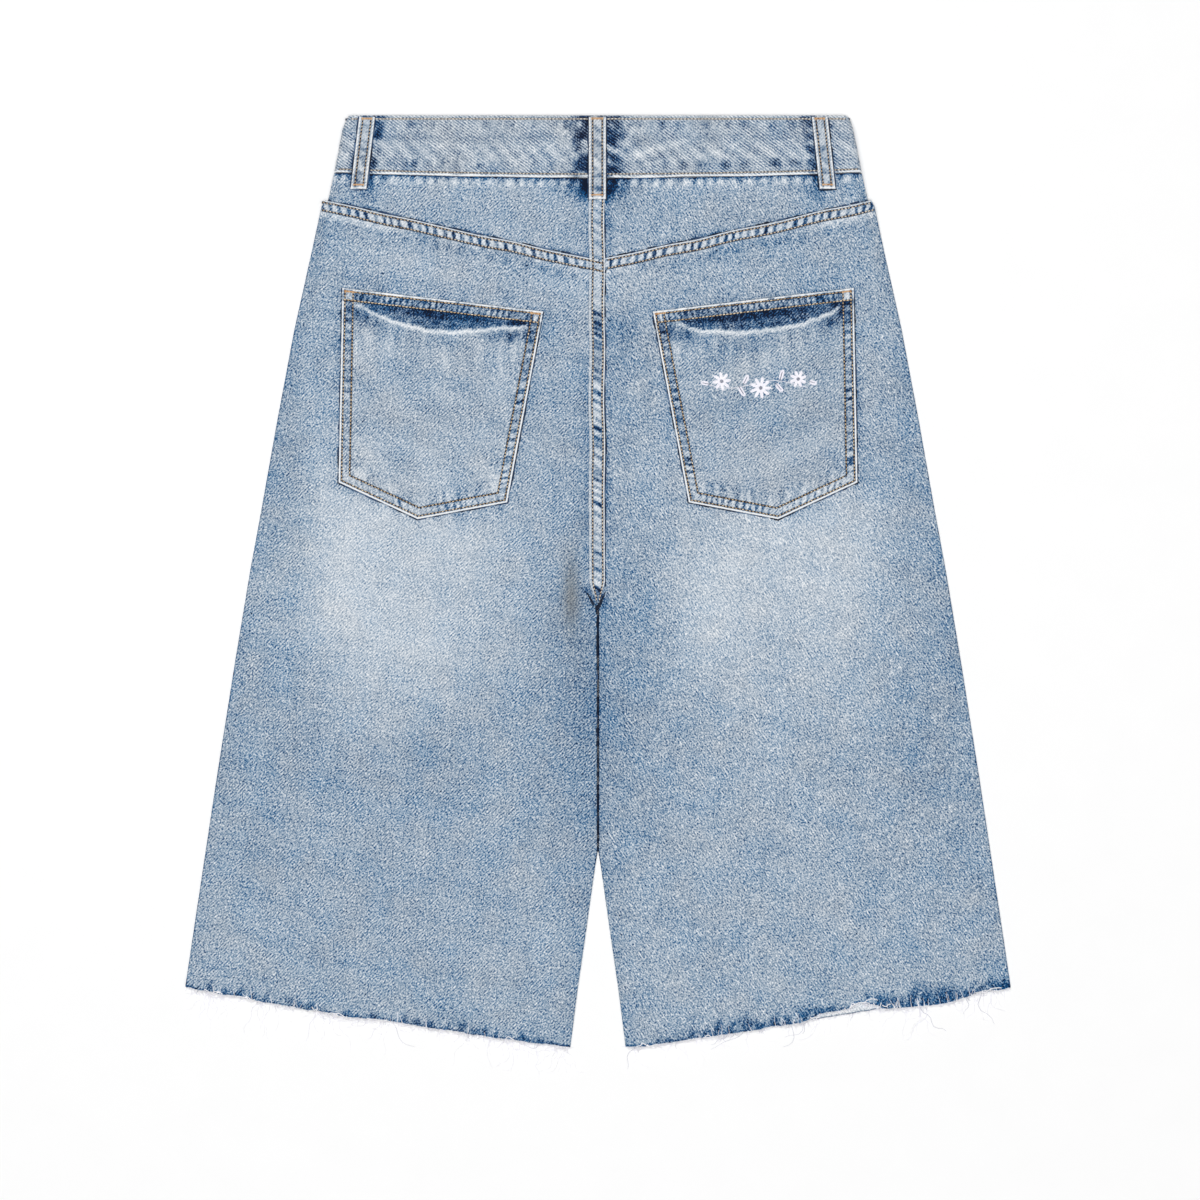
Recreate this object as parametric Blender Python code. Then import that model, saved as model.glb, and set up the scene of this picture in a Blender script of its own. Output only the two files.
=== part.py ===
"""Knee-length denim shorts with a raw hem, laid flat on the floor with the back side up.

Sizes are in millimetres until a mesh is made. X runs across the garment, +Y runs towards the waist and +Z
runs up through the layers. The origin lies on the floor, halfway between the waistband's top edge and the
lowest tip of the fringe. The wearer's left leg is on the -X side.
"""

import math
import random

import bmesh
import bpy
import numpy as np

MM = 0.001

# Cloth and the gaps between separate pieces.
WALL = 1.0
BAND_WALL = 1.8
LOOP_WALL = 1.5
GAP = 0.3
LAYER_GAP = 0.5

# Lengths along the garment.
TOP_Y = 327.0
BAND_HEIGHT = 38.0
BAND_HALF = 176.0
BAND_DROP_AT_CENTRE = 3.4
YOKE_SIDE_Y = 268.0
YOKE_CENTRE_Y = 226.0
YOKE_BOW = 2.2
CROTCH_Y = -8.5
HEM_SIDE_Y = -264.5
HEM_INNER_Y = -306.0

# Heights of the stacked layers above the floor.
FRONT_BAND_Z = 2.0
UNDERLAP_Z = FRONT_BAND_Z + BAND_WALL + GAP
BACK_BAND_Z = UNDERLAP_Z + BAND_WALL + GAP
FRONT_PANEL_RISE = 2.4
BACK_PANEL_RISE = BACK_BAND_Z + 0.2
LAY_LENGTH = 136.0
FRONT_RAMP = 45.0
FRONT_LEVEL = 12.0

# The front closure.
FRONT_DIP = 18.0
FRONT_DIP_SHARE = 0.12
FLY_LAP = 6.5
FLY_BOTTOM_Y = 150.0
FLY_BLEND = 22.0
BAND_LAP = 13.0
CLEAR_OF_LAP = 1.5
FLY_SLOPE = 14.0
UNDERLAP_START = 32.0
UNDERLAP_SLOPE = 15.0
BAND_STEP = 10.0
BUTTON_CAP = 17.0
BUTTON_CAP_HEIGHT = 1.5
BUTTON_SHANK = 5.6
BUTTON_HOLE_LENGTH = 14.0
BUTTON_SIDES = 18

# Half the garment's width from the waist down to the yoke seam.
WAIST_SIDE = (
    # y, half_width
    (327.0, 169.3),
    (323.5, 171.4),
    (317.6, 173.1),
    (297.0, 177.2),
    (277.0, 181.6),
    (268.0, 183.9),
)

# Half the garment's width from the yoke seam down to the hem.
LEG_SIDE = (
    # y, half_width
    (268.0, 188.4),
    (222.4, 197.5),
    (181.6, 206.4),
    (120.4, 217.9),
    (59.2, 228.8),
    (18.4, 236.3),
    (-42.8, 246.5),
    (-124.4, 259.4),
    (-206.0, 271.7),
    (-264.5, 280.5),
)

# Half the open gap between the legs.
INSEAM = (
    # y, half_gap
    (CROTCH_Y, 0.15),
    (-172.0, 0.15),
    (-185.6, 2.3),
    (-226.4, 8.0),
    (-267.2, 13.9),
    (-306.0, 18.8),
)

# Soft folds of the back layer, each a low ridge with rounded ends.
BACK_FOLDS = (
    # name, x, y, angle_deg, length, width, height
    ("left of the crotch", -19.0, -6.0, 84.0, 62.0, 13.0, 0.9),
    ("right of the crotch", 24.0, -14.0, 101.0, 50.0, 15.0, 0.6),
    ("left seat", -62.0, 58.0, 24.0, 74.0, 22.0, 0.7),
    ("right seat", 71.0, 47.0, 152.0, 82.0, 24.0, 0.8),
    ("left hip", -186.0, 150.0, 99.0, 88.0, 20.0, 0.6),
    ("right hip", 184.0, 128.0, 76.0, 70.0, 22.0, 0.7),
    ("left thigh", -150.0, -92.0, 62.0, 120.0, 34.0, 0.9),
    ("right thigh", 128.0, -118.0, 113.0, 138.0, 36.0, 0.8),
    ("left lower leg", -205.0, -190.0, 80.0, 96.0, 30.0, 0.6),
    ("right lower leg", 212.0, -176.0, 96.0, 104.0, 32.0, 0.7),
    ("left inner leg", -58.0, -176.0, 94.0, 110.0, 26.0, 0.6),
    ("right inner leg", 60.0, -190.0, 85.0, 92.0, 24.0, 0.5),
)

# A back pocket on the -X side; the other one is its mirror image.
POCKET = {
    "top_outer": (-173.8, 210.0),
    "top_inner": (-37.4, 194.1),
    "side_outer": (-176.4, 78.0),
    "side_inner": (-63.9, 65.6),
    "point": (-122.5, 53.8),
}
POCKET_HEM = 8.0
POCKET_PUFF = 1.3
POCKET_SAG = 1.1
POCKET_RISE_SHARE = 0.17

# Belt loops: where their centre lines start at the top and end below the waistband.
BACK_LOOPS = (
    # name, top_x, bottom_x, bottom_y, width
    ("belt_loop_back_left", -156.7, -162.6, 277.8, 10.8),
    ("belt_loop_back_centre", -0.4, -0.4, 270.0, 11.7),
    ("belt_loop_back_right", 150.5, 155.9, 277.4, 10.8),
)
FRONT_LOOPS = (
    # name, top_x, bottom_x, width
    ("belt_loop_front_left", -86.0, -88.0, 10.8),
    ("belt_loop_front_right", 86.0, 88.0, 10.8),
)
LOOP_OVERHANG = 9.0
LOOP_ARCH = 0.8

# Felled seams: strips of folded cloth over the joints of the back.
SEAT_SEAM_LEFT = -6.1
SEAT_SEAM_RIGHT = 4.8
SEAT_SEAM_END_Y = -4.0
SEAT_SEAM_TAPER = 0.75
YOKE_SEAM_WIDTH = 8.0
SEAM_CURL_LEAD = 2.0

# The zip under the fly.
ZIP_WIDTH = 5.0
ZIP_LENGTH = 100.0
ZIP_SLIDER_WIDTH = 8.0
ZIP_SLIDER_LENGTH = 9.0
ZIP_SLIDER_RAISE = 1.2

# Fringe of loose threads along the raw hems.
FRINGE_STRANDS = 36
FRINGE_STRIP = 1.6
FRINGE_STRIP_WALL = 0.7
FRINGE_THREAD = 0.8
FRINGE_SHORTEST = 6.0
FRINGE_LONGEST = 24.0
FRINGE_SETTLE = 0.1
FRINGE_LEAN = 1.6
FRINGE_TAPER = 0.78

DENIM_BLUE = (0.33, 0.42, 0.52)
DENIM_PALE = (0.42, 0.50, 0.59)
THREAD_WHITE = (0.80, 0.80, 0.86)
METAL = (0.55, 0.52, 0.47)

EDGE_CURL = 16.0
WAIST_CURL = 7.0
HEM_CURL = 24.0
PILLOW = 0.9


def smooth(t):
    """A soft step from 0 to 1."""
    t = min(max(t, 0.0), 1.0)
    return t * t * (3.0 - 2.0 * t)


def mix(a, b, t):
    return a + (b - a) * t


def along(table, y):
    """The width that a table of (y, width) rows gives at a height y."""
    rows = sorted(table)
    return float(np.interp(y, [row[0] for row in rows], [row[1] for row in rows]))


def side_x(y):
    return along(WAIST_SIDE if y > YOKE_SIDE_Y else LEG_SIDE, y)


def band_low_y(x):
    """The waistband's lower edge on the back, which dips a little at the centre."""
    across = min(abs(x) / BAND_HALF, 1.0)
    return TOP_Y - BAND_HEIGHT - BAND_DROP_AT_CENTRE * (1.0 - across**2)


def front_dip(x):
    """How far the front of the waistband lies below the back of it."""
    across = min(abs(x) / BAND_HALF, 1.0)
    return FRONT_DIP * math.cos(0.5 * math.pi * across) ** 2


def hem_y(x):
    inner_x = along(INSEAM, HEM_INNER_Y)
    outer_x = along(LEG_SIDE, HEM_SIDE_Y)
    return mix(HEM_INNER_Y, HEM_SIDE_Y, (abs(x) - inner_x) / (outer_x - inner_x))


def yoke_seam_y(x):
    across = min(abs(x) / along(LEG_SIDE, YOKE_SIDE_Y), 1.0)
    return mix(YOKE_CENTRE_Y, YOKE_SIDE_Y, across) + YOKE_BOW * 4.0 * across * (1.0 - across)


def front_rise(x, y):
    """The front panels climb from the floor to the lifted waistband."""
    start = band_low_y(x) - front_dip(x) - FRONT_LEVEL - FRONT_RAMP
    return FRONT_PANEL_RISE * smooth((y - start) / FRONT_RAMP)


def lap_shift(y):
    """1 along the fly and 0 below it, where the two fronts meet edge to edge."""
    return smooth((y - FLY_BOTTOM_Y) / FLY_BLEND)


def fly_step(x, y):
    """How much the lapped fly lifts what lies over it."""
    from_lap = abs(x) - FLY_LAP - CLEAR_OF_LAP
    return (WALL + GAP) * lap_shift(y + FLY_BLEND) * (1.0 - smooth(from_lap / FLY_SLOPE))


def fold_height(x, y):
    total = 0.0
    for _name, fold_x, fold_y, angle, length, width, height in BACK_FOLDS:
        turn = math.radians(angle)
        lengthwise = (x - fold_x) * math.cos(turn) + (y - fold_y) * math.sin(turn)
        sideways = (y - fold_y) * math.cos(turn) - (x - fold_x) * math.sin(turn)
        total += height * math.exp(-((2.0 * lengthwise / length) ** 2) - (2.0 * sideways / width) ** 2)
    return total


def front_top(x, y):
    """The top of whatever front layer lies under the back: the panel, the lapped fly or the waistband."""
    panel = front_rise(x, y) + fly_step(x, y) + WALL
    low_y = band_low_y(x) - front_dip(x)
    underlap = (UNDERLAP_Z - FRONT_BAND_Z) * smooth((UNDERLAP_START + 6.0 - abs(x)) / UNDERLAP_SLOPE)
    band = max(panel, FRONT_BAND_Z + BAND_WALL + underlap)
    return mix(panel, band, smooth((y - low_y + FRONT_LEVEL) / BAND_STEP))


def waist_share(x, y):
    """0 down in the legs and 1 at the waistband's lower edge."""
    return smooth((y - band_low_y(x) + LAY_LENGTH) / LAY_LENGTH)


def edge_fade(x, y):
    """0 at the side seams, inseams and hem, where back and front meet, and 1 well inside."""
    from_side = side_x(y) - abs(x)
    if y < CROTCH_Y:
        from_inseam = abs(x) - along(INSEAM, y)
    else:
        from_inseam = math.hypot(x, y - CROTCH_Y)
    from_hem = y - hem_y(x)
    side_curl = mix(EDGE_CURL, WAIST_CURL, waist_share(x, y))
    return smooth(from_side / side_curl) * smooth(from_inseam / EDGE_CURL) * smooth(from_hem / HEM_CURL)


def back_under(x, y):
    """The underside of the back layer, which curls down onto the front at the garment's edges."""
    seated = front_top(x, y) + LAYER_GAP
    loose = seated + PILLOW + fold_height(x, y)
    lifted = mix(loose, max(BACK_PANEL_RISE, seated), waist_share(x, y))
    return mix(seated, lifted, edge_fade(x, y))


def back_top(x, y):
    return back_under(x, y) + WALL


def finish_mesh(mesh, name, colour, smooth_angle=40.0, roughness=0.9, metallic=0.0):
    """Turns a bmesh into an object with its own material, in the collection of the shorts."""
    bmesh.ops.recalc_face_normals(mesh, faces=mesh.faces)
    if mesh.calc_volume(signed=True) < 0.0:
        bmesh.ops.reverse_faces(mesh, faces=mesh.faces)
    bmesh.ops.scale(mesh, vec=(MM, MM, MM), verts=mesh.verts)
    data = bpy.data.meshes.new(name)
    mesh.to_mesh(data)
    mesh.free()
    data.shade_smooth()
    data.set_sharp_from_angle(angle=math.radians(smooth_angle))
    piece = bpy.data.objects.new(name, data)
    SHORTS.objects.link(piece)
    material = bpy.data.materials.new(name + "_finish")
    material.use_nodes = True
    shader = material.node_tree.nodes["Principled BSDF"]
    shader.inputs["Base Color"].default_value = (*colour, 1.0)
    shader.inputs["Roughness"].default_value = roughness
    shader.inputs["Metallic"].default_value = metallic
    data.materials.append(material)
    return piece


def thick_grid(across, down):
    """A flat grid of unit size, thickened by one unit, whose points are (u, v, w) from 0 to 1."""
    mesh = bmesh.new()
    bmesh.ops.create_grid(mesh, x_segments=len(across) - 1, y_segments=len(down) - 1, size=0.5)
    grown = bmesh.ops.extrude_face_region(mesh, geom=mesh.faces[:])
    top = [item for item in grown["geom"] if isinstance(item, bmesh.types.BMVert)]
    bmesh.ops.translate(mesh, vec=(0.0, 0.0, 1.0), verts=top)
    for vert in mesh.verts:
        column = round((vert.co.x + 0.5) * (len(across) - 1))
        row = round((vert.co.y + 0.5) * (len(down) - 1))
        vert.co = (across[column], down[row], round(vert.co.z))
    return mesh


def bend(mesh, form):
    """Moves every point (u, v, w) of a thick grid to the place that a form gives for it."""
    for vert in mesh.verts:
        vert.co = form(*vert.co)


def cloth(name, across, down, form, colour=DENIM_BLUE):
    """A piece of cloth: form(u, v, w) places a point u across, v down and w through the wall."""
    mesh = thick_grid(across, down)
    bend(mesh, form)
    return finish_mesh(mesh, name, colour)


def steps(count):
    return [index / count for index in range(count + 1)]


def eased(count, finer_start=0.0, finer_end=0.0):
    """Steps from 0 to 1 that can lie closer together at either end."""
    found = []
    for t in steps(count):
        found.append(t - finer_start * t * (1.0 - t) ** 2 + finer_end * t * t * (1.0 - t))
    return found


def back_panel(side):
    """One leg of the back, from the yoke seam to the raw hem."""

    def form(u, v, w):
        outer_y = mix(YOKE_SIDE_Y - 0.5 * GAP, HEM_SIDE_Y, v)
        inner_y = mix(YOKE_CENTRE_Y - 0.5 * GAP, HEM_INNER_Y, v)
        inner_x = along(INSEAM, inner_y)
        x = mix(along(LEG_SIDE, outer_y), inner_x, u)
        y = mix(outer_y, inner_y, u) + YOKE_BOW * 4.0 * u * (1.0 - u) * (1.0 - v)
        return side * x, y, back_under(side * x, y) + w * WALL

    name = "back_panel_left" if side < 0 else "back_panel_right"
    return cloth(name, eased(11, 0.9, 0.9), eased(24, 0.0, 0.6), form)


def back_yoke(side):
    """The shaped piece between the waistband and the back panel."""

    def form(u, v, w):
        top_x = mix(side_x(band_low_y(BAND_HALF)), 0.5 * GAP, u)
        low_x = mix(along(WAIST_SIDE, YOKE_SIDE_Y), 0.5 * GAP, u)
        x = mix(top_x, low_x, v)
        y = mix(band_low_y(top_x) - GAP, yoke_seam_y(low_x) + 0.5 * GAP, v)
        return side * x, y, back_under(side * x, y) + w * WALL

    name = "back_yoke_left" if side < 0 else "back_yoke_right"
    return cloth(name, eased(14, 0.9, 0.3), steps(3), form, DENIM_PALE)


def front_edge_y(outer_top, v):
    """Where a row of the front meets the side, from the waistband's edge at 0 down to the hem at 1."""
    return mix(outer_top, mix(outer_top, HEM_SIDE_Y, v), smooth(v / FRONT_DIP_SHARE))


def front_panel(side):
    """One leg of the front, which lies on the floor."""
    outer_top = band_low_y(BAND_HALF) - GAP

    def form(u, v, w):
        inner_top = band_low_y(0.0) - front_dip(0.0) - GAP
        inner_y = mix(inner_top, HEM_INNER_Y, v)
        outer_y = mix(outer_top, HEM_SIDE_Y, v)
        inner_x = along(INSEAM, inner_y)
        if inner_y > CROTCH_Y:
            inner_x = 0.5 * GAP - lap_shift(inner_y) * FLY_LAP
        edge_y = front_edge_y(outer_top, v)
        outer_x = along(WAIST_SIDE if edge_y > YOKE_SIDE_Y else LEG_SIDE, edge_y)
        x = mix(outer_x, inner_x, u)
        straight_y = mix(outer_y, inner_y, u)
        top_y = band_low_y(x) - front_dip(x) - GAP
        y = mix(top_y, straight_y, smooth(v / FRONT_DIP_SHARE))
        z = front_rise(x, y)
        if side > 0:
            z += fly_step(x, y)
        return side * x, y, z + w * WALL

    name = "front_panel_left" if side < 0 else "front_panel_right"
    across = [0.0, 0.1, 0.2, 0.3, 0.4, 0.5, 0.6, 0.7, 0.79, 0.86, 0.91, 0.955, 1.0]
    row_low, row_high = 0.0, FRONT_DIP_SHARE
    for _ in range(30):
        step_row = 0.5 * (row_low + row_high)
        if front_edge_y(outer_top, step_row) > YOKE_SIDE_Y:
            row_low = step_row
        else:
            row_high = step_row
    down = [0.0, 0.02, 0.045, step_row - 0.0008, step_row + 0.0008, 0.1, 0.13, 0.165, 0.185]
    down += [0.205, 0.225, 0.25, 0.35, 0.48, 0.62, 0.762, 0.79, 0.86, 0.93, 1.0]
    return cloth(name, across, down, form)


def band_path(t):
    """The waistband's centre line seen from its end: a flat C whose ends lap at the centre front.

    It gives x, z, and the direction across the wall as (across_x, across_z). t runs from the outer lap's end
    round the left side, over the back and round the right side to the underlap's end.
    """
    low_z = FRONT_BAND_Z + 0.5 * BAND_WALL
    high_z = BACK_BAND_Z + 0.5 * BAND_WALL
    radius = 0.5 * (high_z - low_z)
    middle_z = low_z + radius
    turn_x = BAND_HALF - radius - 0.5 * BAND_WALL
    if t <= 1.0:
        return mix(BAND_LAP, -turn_x, t), low_z, 0.0, -1.0
    if t < 2.0:
        angle = math.pi * (t - 1.0)
        return (
            -turn_x - radius * math.sin(angle),
            middle_z - radius * math.cos(angle),
            -math.sin(angle),
            -math.cos(angle),
        )
    if t <= 3.0:
        return mix(-turn_x, turn_x, t - 2.0), high_z, 0.0, 1.0
    if t < 4.0:
        angle = math.pi * (t - 3.0)
        return (
            turn_x + radius * math.sin(angle),
            middle_z + radius * math.cos(angle),
            math.sin(angle),
            math.cos(angle),
        )
    x = mix(turn_x, -BAND_LAP, t - 4.0)
    climb = smooth((UNDERLAP_START - x) / UNDERLAP_SLOPE)
    return x, low_z + climb * (UNDERLAP_Z - FRONT_BAND_Z), 0.0, -1.0


def waistband():
    """One folded strip that runs from the buttonhole end round the back to the button end."""
    turn = [index / 5 for index in range(1, 5)]
    front = [0.0, 0.07, 0.16, 0.25, 0.34, 0.43, 0.52, 0.61, 0.7, 0.79, 0.88, 0.95, 1.0]
    back = [2.0 + t for t in eased(18, 0.0, 0.0)]
    underlap = [4.0, 4.05, 4.12, 4.21, 4.3, 4.39, 4.48, 4.57, 4.66, 4.74]
    underlap += [4.765, 4.79, 4.815, 4.84, 4.92, 5.0]
    around = front + [1.0 + t for t in turn] + back + [3.0 + t for t in turn] + underlap
    down = [0.0, 0.09, 0.5, 1.0]

    def form(u, v, w):
        path_x, z, across_x, across_z = band_path(u)
        offset = (w - 0.5) * BAND_WALL
        x = (path_x + across_x * offset) * side_x(mix(TOP_Y, band_low_y(path_x), v)) / BAND_HALF
        climbed = (z - FRONT_BAND_Z - 0.5 * BAND_WALL) / (BACK_BAND_Z - FRONT_BAND_Z)
        on_back = smooth(climbed) if 1.0 < u < 4.0 else 0.0
        y = mix(TOP_Y, band_low_y(x), v) - front_dip(x) * (1.0 - on_back)
        return x, y, z + across_z * offset

    mesh = thick_grid(around, down)
    bend(mesh, form)
    piece = finish_mesh(mesh, "waistband", DENIM_PALE)
    cut_buttonhole(piece)
    return piece


def button_y():
    return band_low_y(0.0) + 0.5 * (TOP_Y - band_low_y(0.0)) - front_dip(0.0)


def cut_buttonhole(piece):
    """A slot through the outer lap only, where the button's shank passes."""
    mesh = bmesh.new()
    bmesh.ops.create_cube(mesh, size=1.0)
    depth = BAND_WALL + GAP
    bmesh.ops.scale(mesh, vec=(BUTTON_HOLE_LENGTH, BUTTON_SHANK + 2.0 * GAP, depth), verts=mesh.verts)
    middle = (0.0, button_y(), FRONT_BAND_Z + 0.5 * BAND_WALL)
    bmesh.ops.translate(mesh, vec=middle, verts=mesh.verts)
    bmesh.ops.scale(mesh, vec=(MM, MM, MM), verts=mesh.verts)
    data = bpy.data.meshes.new("buttonhole_cutter")
    mesh.to_mesh(data)
    mesh.free()
    cutter = bpy.data.objects.new("buttonhole_cutter", data)
    CUTTERS.objects.link(cutter)
    cutter.hide_render = True
    cutter.display_type = "WIRE"
    slot = piece.modifiers.new("buttonhole", "BOOLEAN")
    slot.operation = "DIFFERENCE"
    slot.object = cutter


def waist_button():
    """A shank button: a flat cap outside the lap and a shank through the buttonhole."""
    mesh = bmesh.new()
    profile = (
        # radius, z
        (0.0, 0.0),
        (0.5 * BUTTON_CAP - 0.9, 0.0),
        (0.5 * BUTTON_CAP, 0.6),
        (0.5 * BUTTON_CAP, BUTTON_CAP_HEIGHT - 0.3),
        (0.5 * BUTTON_CAP - 0.5, BUTTON_CAP_HEIGHT),
        (0.5 * BUTTON_SHANK, BUTTON_CAP_HEIGHT),
        (0.5 * BUTTON_SHANK, UNDERLAP_Z - GAP),
        (0.0, UNDERLAP_Z - GAP),
    )
    points = [mesh.verts.new((radius, 0.0, z)) for radius, z in profile]
    edges = [mesh.edges.new(pair) for pair in zip(points, points[1:])]
    bmesh.ops.spin(
        mesh,
        geom=points + edges,
        cent=(0, 0, 0),
        axis=(0, 0, 1),
        angle=2.0 * math.pi,
        steps=BUTTON_SIDES,
        use_merge=True,
    )
    bmesh.ops.remove_doubles(mesh, verts=mesh.verts, dist=0.001)
    bmesh.ops.translate(mesh, vec=(0.0, button_y(), 0.0), verts=mesh.verts)
    return finish_mesh(mesh, "waist_button", METAL, roughness=0.35, metallic=1.0)


def back_loop(name, top_x, bottom_x, bottom_y, width):
    """A belt loop over the back of the waistband, stitched down at both ends."""
    edge_y = band_low_y(top_x)

    def under(x, y):
        band_top = BACK_BAND_Z + BAND_WALL
        below = back_top(x, edge_y if y > edge_y else y)
        if SEAT_SEAM_LEFT < bottom_x < SEAT_SEAM_RIGHT:
            below += LAYER_GAP + WALL
        return mix(below, max(band_top, below), smooth((y - edge_y + 7.0) / 7.0))

    def form(u, v, w):
        y = mix(TOP_Y - 0.2, bottom_y, v)
        centre = mix(top_x, bottom_x, v)
        arch = LOOP_ARCH * math.sin(math.pi * v) ** 2
        x = centre + (u - 0.5) * width
        return x, y, under(centre, y) + GAP + arch + w * LOOP_WALL

    return cloth(name, steps(2), eased(9, 0.0, 0.6), form, DENIM_PALE)


def front_loop(name, top_x, bottom_x, width):
    """A belt loop outside the front of the waistband, between it and the floor."""

    def form(u, v, w):
        x = mix(top_x, bottom_x, v) + (u - 0.5) * width
        top_y = TOP_Y - front_dip(top_x)
        low_y = band_low_y(x) - front_dip(x) - LOOP_OVERHANG
        y = mix(top_y, low_y, v)
        return x, y, (FRONT_BAND_Z - GAP) * w

    return cloth(name, steps(2), steps(5), form, DENIM_PALE)


def back_pocket(side):
    """A five-sided patch pocket, stitched down on three sides and open at its hemmed top."""
    outer, inner = POCKET["top_outer"], POCKET["top_inner"]
    low_outer, low_inner, point = POCKET["side_outer"], POCKET["side_inner"], POCKET["point"]
    point_u = (point[0] - low_outer[0]) / (low_inner[0] - low_outer[0])
    height = outer[1] - low_outer[1]

    def bottom(u):
        if u < point_u:
            return [mix(low_outer[axis], point[axis], u / point_u) for axis in (0, 1)]
        return [mix(point[axis], low_inner[axis], (u - point_u) / (1.0 - point_u)) for axis in (0, 1)]

    def form(u, v, w):
        low = bottom(u)
        x = mix(mix(outer[0], inner[0], u), low[0], v)
        y = mix(mix(outer[1], inner[1], u), low[1], v)
        x *= -side
        drop = v * height
        inside = smooth(min(u, 1.0 - u) / POCKET_RISE_SHARE)
        belly = POCKET_PUFF * inside * smooth((1.0 - v) / POCKET_RISE_SHARE)
        sag = POCKET_SAG * inside * math.exp(-(((drop - POCKET_HEM - 2.0) / 5.0) ** 2))
        doubled = WALL * (1.0 - smooth((drop - POCKET_HEM) / 1.5))
        wall = WALL + doubled
        return x, y, back_top(x, y) + GAP + max(belly - sag, 0.0) + w * wall

    across = [0.0, 0.08, 0.18, 0.33, point_u, 0.63, 0.8, 0.92, 1.0]
    down = [drop / height for drop in (0.0, 7.9, 9.6, 12.0, 16.0, 24.0, 45.0, 75.0, 105.0, 122.0)] + [1.0]
    name = "back_pocket_left" if side < 0 else "back_pocket_right"
    return cloth(name, across, down, form)


def seat_seam():
    """The folded strip over the centre back joint, from the waistband down to the crotch."""

    def form(u, v, w):
        y = mix(band_low_y(0.0) - GAP, SEAT_SEAM_END_Y, v)
        narrow = 1.0 - SEAT_SEAM_TAPER * smooth((12.0 - y) / 16.0)
        x = mix(SEAT_SEAM_LEFT, SEAT_SEAM_RIGHT, u) * narrow
        return x, y, back_top(x, y) + LAYER_GAP + w * WALL

    return cloth("seat_seam", steps(2), eased(24, 0.3, 0.6), form, DENIM_PALE)


def yoke_seam(side):
    """The folded strip over the joint of yoke and back panel."""

    def form(u, v, w):
        start = SEAT_SEAM_RIGHT if side > 0 else -SEAT_SEAM_LEFT
        x = mix(along(LEG_SIDE, YOKE_SIDE_Y) - 0.4, start + GAP, u)
        y = yoke_seam_y(x) + (0.5 - v) * YOKE_SEAM_WIDTH
        x = min(x, side_x(min(y, YOKE_SIDE_Y)))
        inward = side * (x - SEAM_CURL_LEAD)
        lift = max(back_top(inward, yoke_seam_y(x) + GAP), back_top(inward, y))
        return side * x, y, lift + LAYER_GAP + w * WALL

    name = "yoke_seam_left" if side < 0 else "yoke_seam_right"
    return cloth(name, eased(16, 0.9, 0.3), steps(2), form, DENIM_PALE)


def fly_zip():
    """The zip's chain and slider, under the lap of the left front and beside the edge of the right one."""
    top = band_low_y(0.0) - front_dip(0.0) - 4.0
    slider_end = ZIP_SLIDER_LENGTH / ZIP_LENGTH
    down = [0.0, slider_end, slider_end + 0.01, 0.18, 0.27, 0.36, 0.45, 0.54, 0.63, 0.72, 0.86, 1.0]

    def form(u, v, w):
        y = top - v * ZIP_LENGTH
        on_slider = v <= slider_end
        width = ZIP_SLIDER_WIDTH if on_slider else ZIP_WIDTH
        x = -FLY_LAP - LAYER_GAP - (1.0 - u) * width
        wall = WALL + (ZIP_SLIDER_RAISE if on_slider else 0.0)
        return x, y, front_rise(x, y) + WALL + LAYER_GAP + w * wall

    mesh = thick_grid([0.0, 1.0], down)
    bend(mesh, form)
    return finish_mesh(mesh, "fly_zip", METAL, roughness=0.4, metallic=1.0)


def strand_faces(mesh, count):
    """The faces of a strip's outer edge that strands grow from: every second one along v = 1."""
    found = []
    for face in mesh.faces:
        if all(vert.co.y > 0.99 for vert in face.verts) and len(face.verts) == 4:
            found.append(face)
    found.sort(key=lambda face: face.calc_center_median().x)
    return found[1::2][:count]


def hem_fringe(side, layer, seed):
    """Loose threads along one raw edge, fused at their roots into a narrow strip off the cloth's edge."""
    chance = random.Random(seed)
    outer_x = along(LEG_SIDE, HEM_SIDE_Y)
    inner_x = along(INSEAM, HEM_INNER_Y)
    hem_length = math.hypot(outer_x - inner_x, HEM_SIDE_Y - HEM_INNER_Y)
    half_thread = 0.5 * FRINGE_THREAD / hem_length
    across = [0.0]
    for index in range(FRINGE_STRANDS):
        middle = (index + 0.5 + chance.uniform(-0.22, 0.22)) / FRINGE_STRANDS
        across += [middle - half_thread, middle + half_thread]
    across.append(1.0)
    mesh = thick_grid(across, [0.0, 1.0])
    roots = strand_faces(mesh, FRINGE_STRANDS)
    level = 0.15 if layer == "front" else WALL + GAP + 0.05

    def form(u, v, w):
        x = mix(outer_x, inner_x, u)
        y = hem_y(x) - GAP - v * FRINGE_STRIP
        return side * x, y, level + w * FRINGE_STRIP_WALL

    bend(mesh, form)
    lengths = [chance.uniform(FRINGE_SHORTEST, FRINGE_LONGEST) for _root in roots]
    leans = [chance.uniform(-FRINGE_LEAN, FRINGE_LEAN) for _root in roots]
    for root, length, lean in zip(roots, lengths, leans):
        grow_strand(mesh, root, length, lean)
    name = "hem_fringe_" + layer + ("_left" if side < 0 else "_right")
    return finish_mesh(mesh, name, THREAD_WHITE)


def grow_strand(mesh, root, length, lean):
    """Draws one strand out of a face of the strip in two bent, narrowing stretches."""
    face = root
    for share, drift in ((0.45, 0.7), (0.55, -0.3)):
        middle = face.calc_center_median()
        lowest = -TOP_Y - middle.y
        step = max(-length * share, lowest)
        grown = bmesh.ops.extrude_discrete_faces(mesh, faces=[face])
        face = grown["faces"][0]
        bmesh.ops.translate(mesh, vec=(lean * drift, step, -FRINGE_SETTLE), verts=face.verts)
        centre = face.calc_center_median()
        for vert in face.verts:
            vert.co = centre + (vert.co - centre) * FRINGE_TAPER


def clear_scene():
    for thing in list(bpy.data.objects):
        bpy.data.objects.remove(thing, do_unlink=True)


def new_collection(name):
    collection = bpy.data.collections.new(name)
    bpy.context.scene.collection.children.link(collection)
    return collection


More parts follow.
